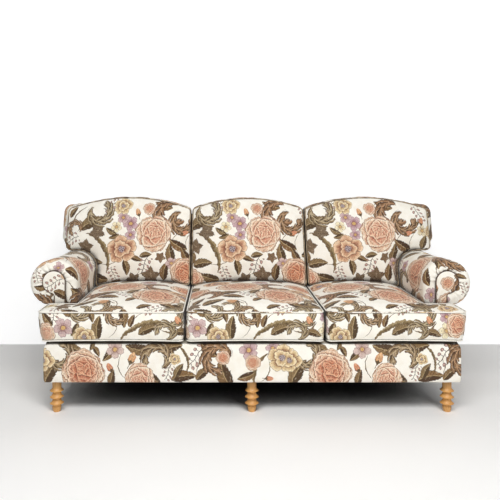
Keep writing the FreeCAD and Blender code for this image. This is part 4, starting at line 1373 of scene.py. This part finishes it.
# Paint, roughness and, for bare metal, 1.0, by the name of the finish
LOOKS = {
    "leg_wood": (wood_paint(linear(226, 176, 108), linear(196, 138, 74)), 0.42),
    "frame_timber": (wood_paint(linear(222, 196, 152), linear(196, 164, 118), 90.0, 30.0), 0.7),
    "bolt_steel": (metal_paint(linear(190, 190, 192), linear(150, 150, 154)), 0.35, 1.0),
    "spring_steel": (metal_paint(linear(120, 120, 124), linear(84, 84, 88)), 0.4, 1.0),
    "dust_cloth": (cloth_paint(linear(30, 29, 28), linear(20, 19, 19), 500.0), 0.95),
    "webbing": (cloth_paint(linear(120, 104, 84), linear(92, 78, 62), 400.0), 0.9),
    "platform_cloth": (cloth_paint(linear(226, 216, 196), linear(214, 202, 180)), 0.9),
    "foam": (foam_paint(linear(240, 224, 176), linear(224, 204, 150)), 0.95),
    "feather_pad": (cloth_paint(linear(238, 234, 224), linear(226, 220, 208)), 0.9),
    "zip": (metal_paint(linear(186, 172, 148), linear(160, 146, 122)), 0.5),
    "printed_cord": (cloth_paint(linear(176, 158, 130), linear(84, 64, 48), 34.0), 0.92),
    "dark_cord": (cloth_paint(linear(112, 88, 68), linear(84, 62, 48), 900.0), 0.85),
}
FINISHES = {name: finish_material(name, *look) for name, look in LOOKS.items()}


def node_slots():
    """The record's material slot of each CAD node."""
    return {entry["node"]: entry["material_slot"] for entry in frame["record"]["subparts"]}


# Stage, light and camera

STAGE_SIZE = 40.0
FLOOR_Z = -0.0005
WALL_Y = 0.62
CAMERA_PLACE = (-0.13, -3.11, 1.1036)
CAMERA_LENS = 42.39
CAMERA_SHIFT = (0.053, -0.16)


def stage_plane(name, place, turn, material):
    """A large plane for the stage."""
    bpy.ops.mesh.primitive_plane_add(size=STAGE_SIZE, location=place, rotation=turn)
    plane = bpy.context.object
    plane.name = name
    plane.data.materials.append(material)
    return plane


def floor_material():
    """A pale floor, with shade painted dark only right under things."""
    material, tree, shader = new_material("pale_floor")
    place = tree.nodes.new("ShaderNodeTexCoord").outputs["Object"]
    mottle = noise(tree, place, 3.0, 2.0)
    pale = mix(tree, mottle, linear(251, 250, 248), linear(255, 254, 252))
    # Painted shade: the floor's colour turns near black where things overhang it
    shade = openness(tree, 0.45, 16).step(0.30, 0.09)
    join(tree, mix(tree, shade * 0.96, pale, linear(16, 15, 14)), shader.inputs["Base Color"])
    shader.inputs["Roughness"].default_value = 0.6
    return material


def wall_material():
    """White to the camera, grey to the light, and clear when it is seen from behind."""
    material, tree, shader = new_material("white_backdrop")
    place = tree.nodes.new("ShaderNodeTexCoord").outputs["Object"]
    mottle = noise(tree, place, 2.0, 2.0)
    grey = mix(tree, mottle, (0.50, 0.50, 0.50, 1.0), (0.54, 0.54, 0.54, 1.0))
    join(tree, grey, shader.inputs["Base Color"])
    shader.inputs["Emission Color"].default_value = (1.0, 1.0, 1.0, 1.0)
    seen = tree.nodes.new("ShaderNodeLightPath").outputs["Is Camera Ray"]
    join(tree, Term(tree, seen) * 0.62, shader.inputs["Emission Strength"])
    shader.inputs["Roughness"].default_value = 0.9
    clear = tree.nodes.new("ShaderNodeBsdfTransparent")
    behind = tree.nodes.new("ShaderNodeNewGeometry").outputs["Backfacing"]
    blend = tree.nodes.new("ShaderNodeMixShader")
    for entry, socket in zip(blend.inputs, (behind, shader.outputs[0], clear.outputs[0])):
        join(tree, socket, entry)
    join(tree, blend.outputs[0], tree.nodes["Material Output"].inputs["Surface"])
    return material


def make_world():
    """A room that lights softly but looks near white."""
    world = bpy.data.worlds.new("room")
    world.use_nodes = True
    tree = world.node_tree
    background = tree.nodes["Background"]
    path = tree.nodes.new("ShaderNodeLightPath")
    seen = Term(tree, path.outputs["Is Camera Ray"])
    seen = seen.larger(Term(tree, path.outputs["Is Transmission Ray"]))
    colour = mix(tree, seen, (0.15, 0.155, 0.16, 1.0), (0.96, 0.96, 0.96, 1.0))
    join(tree, colour, background.inputs["Color"])
    background.inputs["Strength"].default_value = 1.0
    bpy.context.scene.world = world


def make_stage():
    """The floor, the wall behind the sofa, which casts no shadow, and the room's light."""
    floor = stage_plane("floor", (0, 0, FLOOR_Z), (0, 0, 0), floor_material())
    wall = stage_plane("backdrop", (0, WALL_Y, 0), (math.radians(90), 0, 0), wall_material())
    wall.visible_shadow = False
    make_world()


def lamp(name, place, target, size, power):
    """A rectangular lamp that points at the target."""
    data = bpy.data.lights.new(name, "AREA")
    data.shape = "RECTANGLE"
    data.size, data.size_y = size
    data.energy = power
    obj = bpy.data.objects.new(name, data)
    obj.location = place
    obj.rotation_euler = (Vector(target) - Vector(place)).to_track_quat("-Z", "Y").to_euler()
    bpy.context.collection.objects.link(obj)


def make_camera():
    """The photo's camera: level, with its picture shifted down."""
    data = bpy.data.cameras.new("camera")
    data.sensor_width = 36.0
    data.lens = CAMERA_LENS
    data.shift_x, data.shift_y = CAMERA_SHIFT
    obj = bpy.data.objects.new("camera", data)
    obj.location = CAMERA_PLACE
    obj.rotation_euler = (math.radians(90), 0, 0)
    bpy.context.collection.objects.link(obj)
    bpy.context.scene.camera = obj


# Back cushions

BACK_LOW = 0.4640
BACK_VALLEY = 0.8815
BACK_PEAK = {"left": 0.9430, "middle": 0.9390, "right": 0.9430}
BACK_EDGE_X = 0.3095
BACK_INNER_X = 0.3228
BACK_ARM_X = 0.8280
BACK_END_X = 1.0080
EAR_GAP = 0.0030
EAR_Y = 0.1
FOOT_DEPTH = 0.232
HEAD_DEPTH = 0.150
BELLY = 0.034
EDGE_DRAW = 0.020
TOP_FALL = 0.016
END_BULGE = 0.040
TOP_BULGE = 0.008
REAR_GAP = 0.001
BACK_ROWS = 14
BACK_ORIGIN = {"left": -0.601, "middle": 0.0, "right": 0.628}

# Middle in x and z, turn in degrees, length, width and depth of the creases of each back cushion
BACK_FOLDS = {
    "left": [(-0.80, 0.53, 40, 0.10, 0.006, -0.0030), (-0.60, 0.50, 86, 0.07, 0.006, -0.0016)],
    "middle": [
        (-0.01, 0.56, 92, 0.09, 0.006, -0.0024),
        (0.03, 0.53, 84, 0.06, 0.005, -0.0018),
        (-0.17, 0.52, 70, 0.06, 0.006, -0.0016),
    ],
    "right": [(0.52, 0.52, 100, 0.07, 0.006, -0.0020), (0.74, 0.54, 130, 0.08, 0.006, -0.0024)],
}


def seat_top(side, x, y):
    """Height of the seat cushion's top where the back cushion rests on it."""
    if side == "middle":
        inner, edge, place = -SEAT_EDGE_X, SEAT_EDGE_X, x
    else:
        inner, edge, place = SEAM_X + 0.006, SEAT_ARM_X, np.abs(x)
    d = np.clip(np.minimum(np.minimum(edge - place, place - inner), SEAT_REAR_Y - y), 0, 1)
    return SEAT_WELT_Z + seat_crown(side, x, y, d)


def back_outline(side):
    """Corners of the front of a back cushion in (x, z), each with its radius.

    It is arched on top and, on the outer cushions, cut over the arm.
    """
    middle = side == "middle"
    x0, x1 = (-BACK_EDGE_X, BACK_EDGE_X) if middle else (BACK_INNER_X, BACK_END_X)
    rise = BACK_PEAK[side] - BACK_VALLEY

    def arch(x):
        return BACK_VALLEY + rise * (1 - ((2 * x - x0 - x1) / (x1 - x0)) ** 2)

    foot_y = back_plane_y(BACK_LOW, BACK_THICKNESS + FOOT_DEPTH)
    low = []
    for x in np.linspace(x0 + 0.03, (x1 if middle else BACK_ARM_X) - 0.02, 40):
        low.append((x, float(seat_top("middle" if middle else "right", x, foot_y)) + 0.003, 0))
    corners = [(x0, low[0][1] - 0.001, 0.012)] + low
    if middle:
        corners.append((x1, low[-1][1] - 0.001, 0.012))
    else:
        radius = INNER_ROLL_RADIUS + EAR_GAP
        corners.append((BACK_ARM_X, low[-1][1] - 0.001, 0.010))
        for angle in np.radians(np.arange(180, 89, -6)):
            height = fallen(EAR_Y, inner_roll_z + radius * math.sin(angle))
            corners.append((inner_roll_x + radius * math.cos(angle), height, 0))
        corners.append((x1 - 0.004, fallen(EAR_Y, arm_top) + EAR_GAP, 0.024))
    corners.append((x1, arch(x1) - 0.002, 0.014 if middle else 0.026))
    corners += [(x, arch(x), 0) for x in np.linspace(x1 - 0.02, x0 + 0.02, 56)]
    corners.append((x0, arch(x0) - 0.002, 0.014))
    if side == "left":
        corners = [(-x, z, r) for x, z, r in corners][::-1]
    return corners


def back_depth(side, x, z, d):
    """How far the front of a back cushion stands ahead of the back of its cover."""
    share = np.clip((z - BACK_LOW) / (BACK_VALLEY - BACK_LOW), 0, 1.12)
    depth = FOOT_DEPTH + (HEAD_DEPTH - FOOT_DEPTH) * share
    if side == "middle":
        across = 1 - np.abs(x / BACK_EDGE_X) ** 2.4
    else:
        middle = (BACK_INNER_X + BACK_END_X) / 2
        across = 1 - np.abs((np.abs(x) - middle) / (BACK_END_X - middle)) ** 2.4
    across = np.clip(across, 0, 1)
    tall = np.clip(4 * share * (1.08 - share), 0, 1) ** 0.7
    edge = 1 - np.exp(-d / 0.030)
    return depth - EDGE_DRAW * (1 - edge) + BELLY * across * tall * edge


def back_folds(side, x, z):
    """Soft creases of a filled cushion that has been sat against, each with a low ridge beside it."""
    total = np.zeros_like(x)
    for cx, cz, turn, length, width, depth in BACK_FOLDS[side]:
        a = math.radians(turn)
        along = (x - cx) * math.cos(a) + (z - cz) * math.sin(a)
        off = (z - cz) * math.cos(a) - (x - cx) * math.sin(a) + 0.006 * np.sin(along * 40)
        fade = depth * np.exp(-((along / length) ** 2))
        total += fade * np.exp(-((off / width) ** 2))
        total -= 0.5 * fade * np.exp(-(((off - 2.2 * width) / width) ** 2))
    return total


def top_fall(z):
    """How much lower the back of a back cushion is than its front, at its top."""
    return TOP_FALL * np.clip((z - 0.80) / 0.10, 0, 1)


def back_boxing(side, loop, seed):
    """Rows of points from the front edge of a back cushion to its rear edge, and their cloth."""
    outward = outward_of(along_loop(loop))
    x = loop[:, 0]
    z = loop[:, 1]
    edge_depth = back_depth(side, x, z, 0.0)
    loop_rear = np.column_stack((x, z - top_fall(z)))
    run = run_of(closed(loop))
    outer_end = np.clip(outward[:, 0] * SIGNS[side], 0, 1) * (np.abs(x) > 0.95) * (z > arm_top)
    outer_end = outer_end * np.clip((z - arm_top) / 0.05, 0, 1) ** 0.6
    on_top = np.clip(outward[:, 1], 0, 1) * (z > 0.80)
    on_seat = (outward[:, 1] < -0.5) & (z < 0.52)
    rows = []
    cloth = []
    for k in range(BACK_ROWS + 1):
        t = k / BACK_ROWS
        bow = math.sin(math.pi * t) ** 0.8
        place = loop * (1 - t) + loop_rear * t
        place = place + outward * (outer_end * END_BULGE * bow + on_top * TOP_BULGE * bow)[:, None]
        fold = puckers(run[:-1], t * 0.15, seed, 0.036, 0.0016)
        place = place + outward * (fold * (outer_end + on_top))[:, None]
        depth = BACK_THICKNESS + edge_depth * (1 - t) + REAR_GAP * t
        height = place[:, 1]
        rest = seat_top(side, place[:, 0], back_plane_y(height, depth)) + 0.0008
        height = np.where(on_seat & (t > 0), np.maximum(rest, height - 0.006), height)
        row = np.column_stack((place[:, 0], back_plane_y(height, depth), height))
        rows.append(closed(row))
        cloth.append(lay("field", run, 0.1 + edge_depth.mean() * t))
    return rows, cloth


def held_back(obj, side, seam):
    """The vertices of a back cushion that the cloth simulation leaves where they are."""
    points = get_points(obj)
    ahead = back_plane_y(points[:, 2], BACK_THICKNESS) - points[:, 1]
    loose = ahead > back_depth(side, points[:, 0], points[:, 2], 0.03) - 0.024
    loose |= (points[:, 2] > 0.86) & (ahead > 0.02)
    loose |= np.abs(points[:, 0]) > BACK_END_X + 0.004
    return set(nearest_vertices(obj, seam)) | set(np.flatnonzero(~loose))


def back_cushion(side):
    """One back cushion: front and back panels and a boxing strip, with a welt round the front."""
    loop = curve_points(back_outline(side), SPACING)
    loop = loop[np.linalg.norm(np.roll(loop, -1, axis=0) - loop, axis=1) > 0.002]
    seed = 4.0 + SIDES.index(side) * 1.7
    points, faces = fill_loop(loop, SPACING)
    d = edge_distance(points, loop)
    x = points[:, 0]
    z = points[:, 1]
    front = back_depth(side, x, z, d) + puckers(x + z, d, seed, 0.034, 0.0016) + back_folds(side, x, z)
    cover = Cover()
    cloth = lay("back", x - BACK_ORIGIN[side], (z - BACK_LOW) * 1.01)
    cover.panel(np.column_stack((x, back_plane_y(z, BACK_THICKNESS + front), z)), faces, cloth)
    rear_z = z - top_fall(z)
    rear = np.column_stack((x, back_plane_y(rear_z, BACK_THICKNESS + REAR_GAP), rear_z))
    cover.panel(rear, faces, lay("field", x, z), flip=True)
    rows, cloth = back_boxing(side, loop, seed + 2)
    cover.strip(rows, cloth)
    obj = cover.build("back_cover_" + side)
    seam = rows[0][:-1]
    puff(obj, held_back(obj, side, seam), pressure=3.5)
    points = get_points(obj)
    points[:, 0] = off_neighbours(points[:, 0], side, 0.0006)
    set_points(obj, back_sway(points))
    smooth(obj)
    body = side + "_back_cushion"
    dress(obj, body, "back_cushion_" + side)
    welts = Cover()
    cord_along(welts, back_sway(seam) + [0, -0.0010, 0.0], WELT_RADIUS, "back")
    cord = welts.build("back_welt_" + side)
    cord.data.materials.append(FINISHES["printed_cord"])
    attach(cord, body)


def back_sway(points):
    """The places of a back cushion's points, which stand a little off centre and wider at the ends."""
    moved = np.array(points, dtype=float)
    x = moved[:, 0]
    share = np.clip((moved[:, 2] - 0.63) / 0.035, 0, 1)
    low = np.clip(1 - (x / 0.80) ** 2, 0, 1) * (0.0110 + 0.0160 * x)
    moved[:, 0] += low * (1 - share) + (0.0085 + 0.0140 * x) * share
    return moved


# Arms

RIM_RADIUS = 0.024
FACING_RADIUS = 0.054
FACING_THICKNESS = 0.007
FACING_EDGE = 0.003
STEM_OUTER_X = 0.942
PLEATS = 15
PLEAT_HEIGHT = 0.0100
PLEAT_ROWS = 9
FULL = 0.007
ARM_LOW = 0.3235
ARM_STEP = 0.010
ARM_ROWS = 46
ARM_SINK = 0.0012
RIM_ROWS = 5
ROLL_ROWS = 108
ROLL_END = -93.0
facing_x = facing_outer_x - FACING_RADIUS

# Where the arms' cloth is cut: the start of the wrap along the print, its height at the front edge,
# and the layout and place in the middle of the facing
WRAP_U = {"left": 0.58, "right": 0.02}
WRAP_V = 0.12
FACING_MIDDLE = (0.945, 0.560)
FACING_CLOTH = {"left": ("field", 0.030, 0.100), "right": ("back", 0.050, 0.420)}


def arm_profile():
    """The scroll of the right arm in (x, z) from its inner foot, its normals and the facing's edge."""
    outline = []
    normals = []
    facing = []
    rise = int((inner_roll_z - ARM_LOW) / ARM_STEP)
    for k in range(rise):
        z = ARM_LOW + (inner_roll_z - ARM_LOW) * k / rise
        outline.append((arm_inner_x, z))
        normals.append((-1.0, 0.0))
        facing.append((facing_x - FACING_RADIUS, z + (roll_z - inner_roll_z) * k / rise))
    for k in range(ROLL_ROWS + 1):
        angle = math.radians(180 + (ROLL_END - 180) * k / ROLL_ROWS)
        direction = (math.cos(angle), math.sin(angle))
        if angle > math.pi / 2:
            cx, cz, r = inner_roll_x, inner_roll_z, INNER_ROLL_RADIUS
        else:
            cx, cz, r = roll_x + FULL, roll_z - FULL, ROLL_RADIUS + FULL
        outline.append((cx + r * direction[0], cz + r * direction[1]))
        normals.append(direction)
        facing.append((facing_x + FACING_RADIUS * direction[0], roll_z + FACING_RADIUS * direction[1]))
    return np.array(outline), np.array(normals), np.array(facing), rise


def pleats_round(turn):
    """Height of the gathers from 0 to 1 along the turn of the roll, which also runs from 0 to 1."""
    wave = turn * PLEATS + 0.10 * np.sin(turn * 37) + 0.06 * np.sin(turn * 71 + 1)
    ridge = np.abs(np.sin(wave * math.pi)) ** 0.75
    uneven = 0.75 + 0.25 * np.sin(turn * 29 + 2.0)
    return ridge * uneven * (turn > 0) * np.clip(turn / 0.05, 0, 1)


def arm_cover(sign, side):
    """The padded wrap of one arm with its gathered front and its flat rear end."""
    outline, normals, facing, rise = arm_profile()
    count = len(outline)
    run = run_of(outline)
    pleat = pleats_round(np.clip((np.arange(count) - rise) / (count - 1 - rise), 0, 1))
    stretch = 0.5 * np.sin(run * 55) + 0.5 * np.sin(run * 31 + 1)
    rows = []
    cloth = []
    start_y = arm_front_y + RIM_RADIUS

    def add(place, y, v):
        rows.append(np.column_stack((sign * place[:, 0], y, fallen(y, place[:, 1]))))
        cloth.append(lay("field", sign * run + WRAP_U[side], v))

    for k in range(ARM_ROWS + 1):
        t = 1 - k / ARM_ROWS
        y = start_y + (back_plane_y(outline[:, 1], REAR_INSET) - start_y) * t
        ripple = 0.0012 * pleat * np.exp(-(y - start_y) / 0.05) + 0.0006 * stretch
        place = outline + normals * (ripple - ARM_SINK)[:, None]
        add(place, y, WRAP_V + (y.mean() - arm_front_y))
    for k in range(1, RIM_ROWS + 1):
        angle = math.radians(90 * k / RIM_ROWS)
        grow = math.sin(angle)
        inset = RIM_RADIUS * (1 - math.cos(angle))
        place = outline + normals * (0.0015 * pleat - inset - ARM_SINK)[:, None]
        y = start_y - RIM_RADIUS * grow - PLEAT_HEIGHT * 0.35 * pleat * grow
        add(place, y, WRAP_V + RIM_RADIUS - RIM_RADIUS * angle)
    inner_edge = outline - normals * (RIM_RADIUS + ARM_SINK)
    for k in range(1, PLEAT_ROWS + 1):
        t = k / PLEAT_ROWS
        place = inner_edge * (1 - t) + facing * t
        hollow = 0.003 * math.sin(math.pi * t)
        tall = PLEAT_HEIGHT * (0.35 + 0.65 * math.sin(math.pi * min(1.0, t * 0.9)))
        y = arm_front_y - hollow - tall * pleat + 0.004 * t
        add(place, y, WRAP_V - RIM_RADIUS * 0.6 - 0.05 * t)
    cover = Cover()
    cover.strip(rows, cloth)
    low_edge = [(STEM_OUTER_X, outline[-1][1] + 0.004), (STEM_OUTER_X, ARM_LOW)]
    points, faces = fill_loop(np.vstack((outline[::3], outline[-1:], low_edge)), SPACING)
    rear_y = back_plane_y(points[:, 1], REAR_INSET)
    rear = np.column_stack((sign * points[:, 0], rear_y, fallen(rear_y, points[:, 1])))
    cover.panel(rear, faces, lay("field", 0.15 - sign * points[:, 0], points[:, 1]))
    obj = cover.build("arm_wrap_" + side)
    smooth(obj)
    dress(obj, "frame", "arm_cover_" + side)


def facing_loop():
    """Edge of the keyhole facing of the right arm in (x, z)."""
    corners = [
        (facing_x - FACING_RADIUS, ARM_LOW, 0.002),
        (STEM_OUTER_X, ARM_LOW, 0.002),
        (STEM_OUTER_X, roll_z - FACING_RADIUS - 0.014, 0),
        (STEM_OUTER_X + 0.004, roll_z - FACING_RADIUS - 0.004, 0),
    ]
    for angle in np.radians(np.arange(-80, 181, 8)):
        x = facing_x + FACING_RADIUS * math.cos(angle)
        corners.append((x, roll_z + FACING_RADIUS * math.sin(angle), 0))
    return curve_points(corners, 0.008)


def arm_facing(sign, side):
    """The keyhole facing with a welt round it."""
    loop = facing_loop()
    points, faces = fill_loop(loop, 0.008)
    d = edge_distance(points, loop)
    x = points[:, 0]
    z = points[:, 1]
    edge_y = arm_front_y - FACING_THICKNESS + FACING_EDGE
    y = edge_y - FACING_EDGE * (1 - np.exp(-d / 0.010))
    cover = Cover()
    layout, u, v = FACING_CLOTH[side]
    cloth = lay(layout, sign * (x - FACING_MIDDLE[0]) + u, z - FACING_MIDDLE[1] + v)
    cover.panel(np.column_stack((sign * x, y, z)), faces, cloth)
    ring = closed(loop)
    edge = np.column_stack((sign * ring[:, 0], np.full(len(ring), edge_y), ring[:, 1]))
    flat = lay("field", ring[:, 0], ring[:, 1])
    cover.strip([edge, edge + [0, FACING_THICKNESS, 0]], [flat, flat])
    obj = cover.build("facing_" + side)
    smooth(obj)
    dress(obj, "frame", "arm_facing_" + side)
    welts = Cover()
    cord_along(welts, edge[:-1] + [0, 0.0010, 0], 0.0018, "field")
    cord = welts.build("facing_welt_" + side)
    cord.data.materials.append(FINISHES["dark_cord"])
    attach(cord, "frame")
    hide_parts("arm_facing_welt_" + side)


def outside_arm(sign, side):
    """The flat panel outside the arm, below the roll, with its edges turned in."""
    low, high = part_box("outside_arm_right")
    rows = []
    cloth = []
    across = 40
    levels = 26
    for k in range(levels + 1):
        z = low.z + (high.z - low.z) * k / levels
        end = back_plane_y(z, REAR_INSET)
        y = low.y + (end - low.y) * np.arange(across + 1) / across
        d = np.minimum(np.minimum(y - low.y, end - y), min(z - low.z, high.z - z))
        x = high.x - 0.003 * np.exp(-np.clip(d, 0, 1) / 0.004)
        rows.append(np.column_stack((sign * x, y, np.full(across + 1, z))))
        cloth.append(lay("field", 0.1 - sign * y, z + 0.2))
    cover = Cover()
    cover.strip(rows, cloth)
    edges = [(rows[0], cloth[0]), (rows[-1], cloth[-1])]
    edges += [(np.array([row[i] for row in rows]), [line[i] for line in cloth]) for i in (0, across)]
    for edge, line in edges:
        tucked = edge.copy()
        tucked[:, 0] = sign * (high.x - 0.0045)
        cover.strip([edge, tucked], [line, line])
    obj = cover.build("outside_arm_cloth_" + side)
    dress(obj, "frame", "outside_arm_" + side)


# Border under the cushions

BORDER_CORNER = 0.010
BORDER_SHOULDER = 0.026
BORDER_WALL = 0.012
BORDER_ROUND = 0.010
BORDER_BULGE = 0.0015
BORDER_ROWS = 18
BORDER_FOOT_V = 0.36
border_height = border_top - border_bottom


def border_path():
    """The border's line seen from above, from the left arm round the front to the right arm."""
    end_y = arm_front_y - CLEARANCE
    r = BORDER_CORNER
    x = border_half
    side = [(-x, end_y + (front_y + r - end_y) * k / 14) for k in range(14)] + [(-x, front_y + r)]
    for a in np.radians(np.arange(15, 90, 15)):
        side.append((-x + r - r * math.cos(a), front_y + r - r * math.sin(a)))
    across = 150
    front = [(-x + r + (2 * x - 2 * r) * k / across, front_y) for k in range(across + 1)]
    return np.array(side + front + [(-a, b) for a, b in side[::-1]])


def front_border():
    """The padded rail cover under the seat cushions, round both front corners to the arms."""
    path = border_path()
    outward = outward_of(np.gradient(path, axis=0))
    run = run_of(path)
    run = run - run[-1] / 2
    over = np.clip(np.abs(path[:, 0]) - (border_half - BORDER_SHOULDER), 0, BORDER_SHOULDER)
    drop = BORDER_SHOULDER - np.sqrt(BORDER_SHOULDER**2 - over**2)
    top = border_top - drop * np.clip(1 - (path[:, 1] - front_y) / 0.05, 0, 1)
    rows = []
    cloth = []

    def add(place, z, v):
        rows.append(np.column_stack((place, z)))
        cloth.append(lay("border", run, v))

    for k in range(BORDER_ROWS + 1):
        t = k / BORDER_ROWS
        z = border_bottom + (top - BORDER_ROUND - border_bottom) * t
        depth = min(t, 1 - t) * 0.17
        bulge = BORDER_BULGE * math.sin(math.pi * t) - BORDER_BULGE
        bulge = bulge + puckers(run, depth, 2.0, 0.05, 0.0006)
        tuck = 0.004 * math.exp(-t * 40)
        add(path + outward * (bulge - tuck)[:, None], z, z - border_bottom)
    for k in range(1, 6):
        angle = math.radians(90 * k / 5)
        place = path - outward * (BORDER_ROUND * (1 - math.cos(angle)) + BORDER_BULGE)
        z = top - BORDER_ROUND + BORDER_ROUND * math.sin(angle)
        add(place, z, z - border_bottom)
    place = path - outward * BORDER_WALL
    add(place, top, border_height + BORDER_WALL)
    add(place, np.full(len(path), border_bottom), BORDER_FOOT_V)
    cover = Cover()
    cover.strip(rows, cloth)
    obj = cover.build("border_cover")
    smooth(obj)
    dress(obj, "frame", "front_border")


# Back of the sofa and platform

STEP_Z = 0.6705
BACK_CORNER = 0.048
BACK_SPACING = 0.018
PLATFORM_SPACING = 0.024
PLATFORM_ROUND = 0.002
SHARP = 0.004


def stepped_loop(low, step, high, low_half, high_half, corner, spacing):
    """Closed outline with one half width up to a step and another above it."""
    right = [
        (low_half, low, SHARP),
        (low_half, step, SHARP),
        (high_half, step, SHARP),
        (high_half, high, corner),
    ]
    left = [(-x, y, r) for x, y, r in right[::-1]]
    return curve_points(left[-1:] + right + left[:-1], spacing)


def back_piece(name, node, low, low_half, open_depth, hidden_depth, rounding):
    """A raked panel of the back, from its open side to its hidden one, both ahead of the outside."""
    loop = stepped_loop(low, STEP_Z, frame_top, low_half, back_half, BACK_CORNER, BACK_SPACING)
    points, faces = fill_loop(loop, BACK_SPACING)
    d = edge_distance(points, loop)
    x = points[:, 0]
    z = points[:, 1]
    sign = -1 if open_depth < hidden_depth else 1
    y = back_plane_y(z, open_depth - sign * rounding * np.exp(-d / 0.012))
    cover = Cover()
    cover.panel(np.column_stack((x, y, z)), faces, lay("field", sign * x, z))
    ring = closed(loop)
    run = run_of(ring)
    edge_depth = open_depth - sign * rounding
    rows = []
    cloth = []
    for t in np.linspace(0, 1, 5):
        depth = edge_depth + (hidden_depth - edge_depth) * t
        rows.append(np.column_stack((ring[:, 0], back_plane_y(ring[:, 1], depth), ring[:, 1])))
        cloth.append(lay("field", run, 0.3 + abs(hidden_depth - edge_depth) * t))
    cover.strip(rows, cloth)
    obj = cover.build(name)
    smooth(obj)
    dress(obj, "frame", node)


def seat_platform():
    """The plain cloth deck that the seat cushions lie on."""
    low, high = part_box("seat_platform")
    step = arm_front_y - CLEARANCE
    narrow = arm_inner_x - CLEARANCE
    loop = stepped_loop(low.y, step, high.y, high.x, narrow, SHARP, PLATFORM_SPACING)
    points, faces = fill_loop(loop, PLATFORM_SPACING)
    d = edge_distance(points, loop)
    ripple = 0.0002 * np.sin(points[:, 0] * 60) * np.sin(points[:, 1] * 50)
    z = high.z - PLATFORM_ROUND * np.exp(-d / 0.006) + ripple
    cover = Cover()
    cover.panel(np.column_stack((points, z)), faces, points)
    ring = closed(loop)
    top = np.column_stack((ring, np.full(len(ring), high.z - PLATFORM_ROUND)))
    under = np.column_stack((ring, np.full(len(ring), low.z)))
    cover.strip([top, under], [ring, ring])
    obj = cover.build("platform_cloth")
    smooth(obj)
    obj.data.materials.append(FINISHES["platform_cloth"])
    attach(obj, "frame")
    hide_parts("seat_platform")


# The pieces, made in order

for side in SIDES:
    seat_cushion(side)
    back_cushion(side)
for sign, side in ((-1, "left"), (1, "right")):
    arm_cover(sign, side)
    arm_facing(sign, side)
    outside_arm(sign, side)
front_border()
back_piece("back_cloth", "outside_back", border_bottom, border_half, 0.0, BACK_SKIN, 0.002)
padding_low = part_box("back_padding")[0].z
padding_half = arm_inner_x - CLEARANCE
back_piece(
    "back_pad", "back_padding", padding_low, padding_half, BACK_THICKNESS, REAR_INSET, 0.010
)
seat_platform()

make_stage()
lamp("key", (-0.2, -2.9, 3.5), (0, -0.3, 0.4), (3.0, 1.2), 134.0)
lamp("fill", (1.6, -3.6, 2.4), (0, 0, 0.3), (1.6, 1.2), 34.0)
make_camera()
bpy.context.scene.view_settings.view_transform = "Standard"

for name, slot in node_slots().items():
    if slot in FINISHES:
        nodes[name].data.materials.clear()
        nodes[name].data.materials.append(FINISHES[slot])
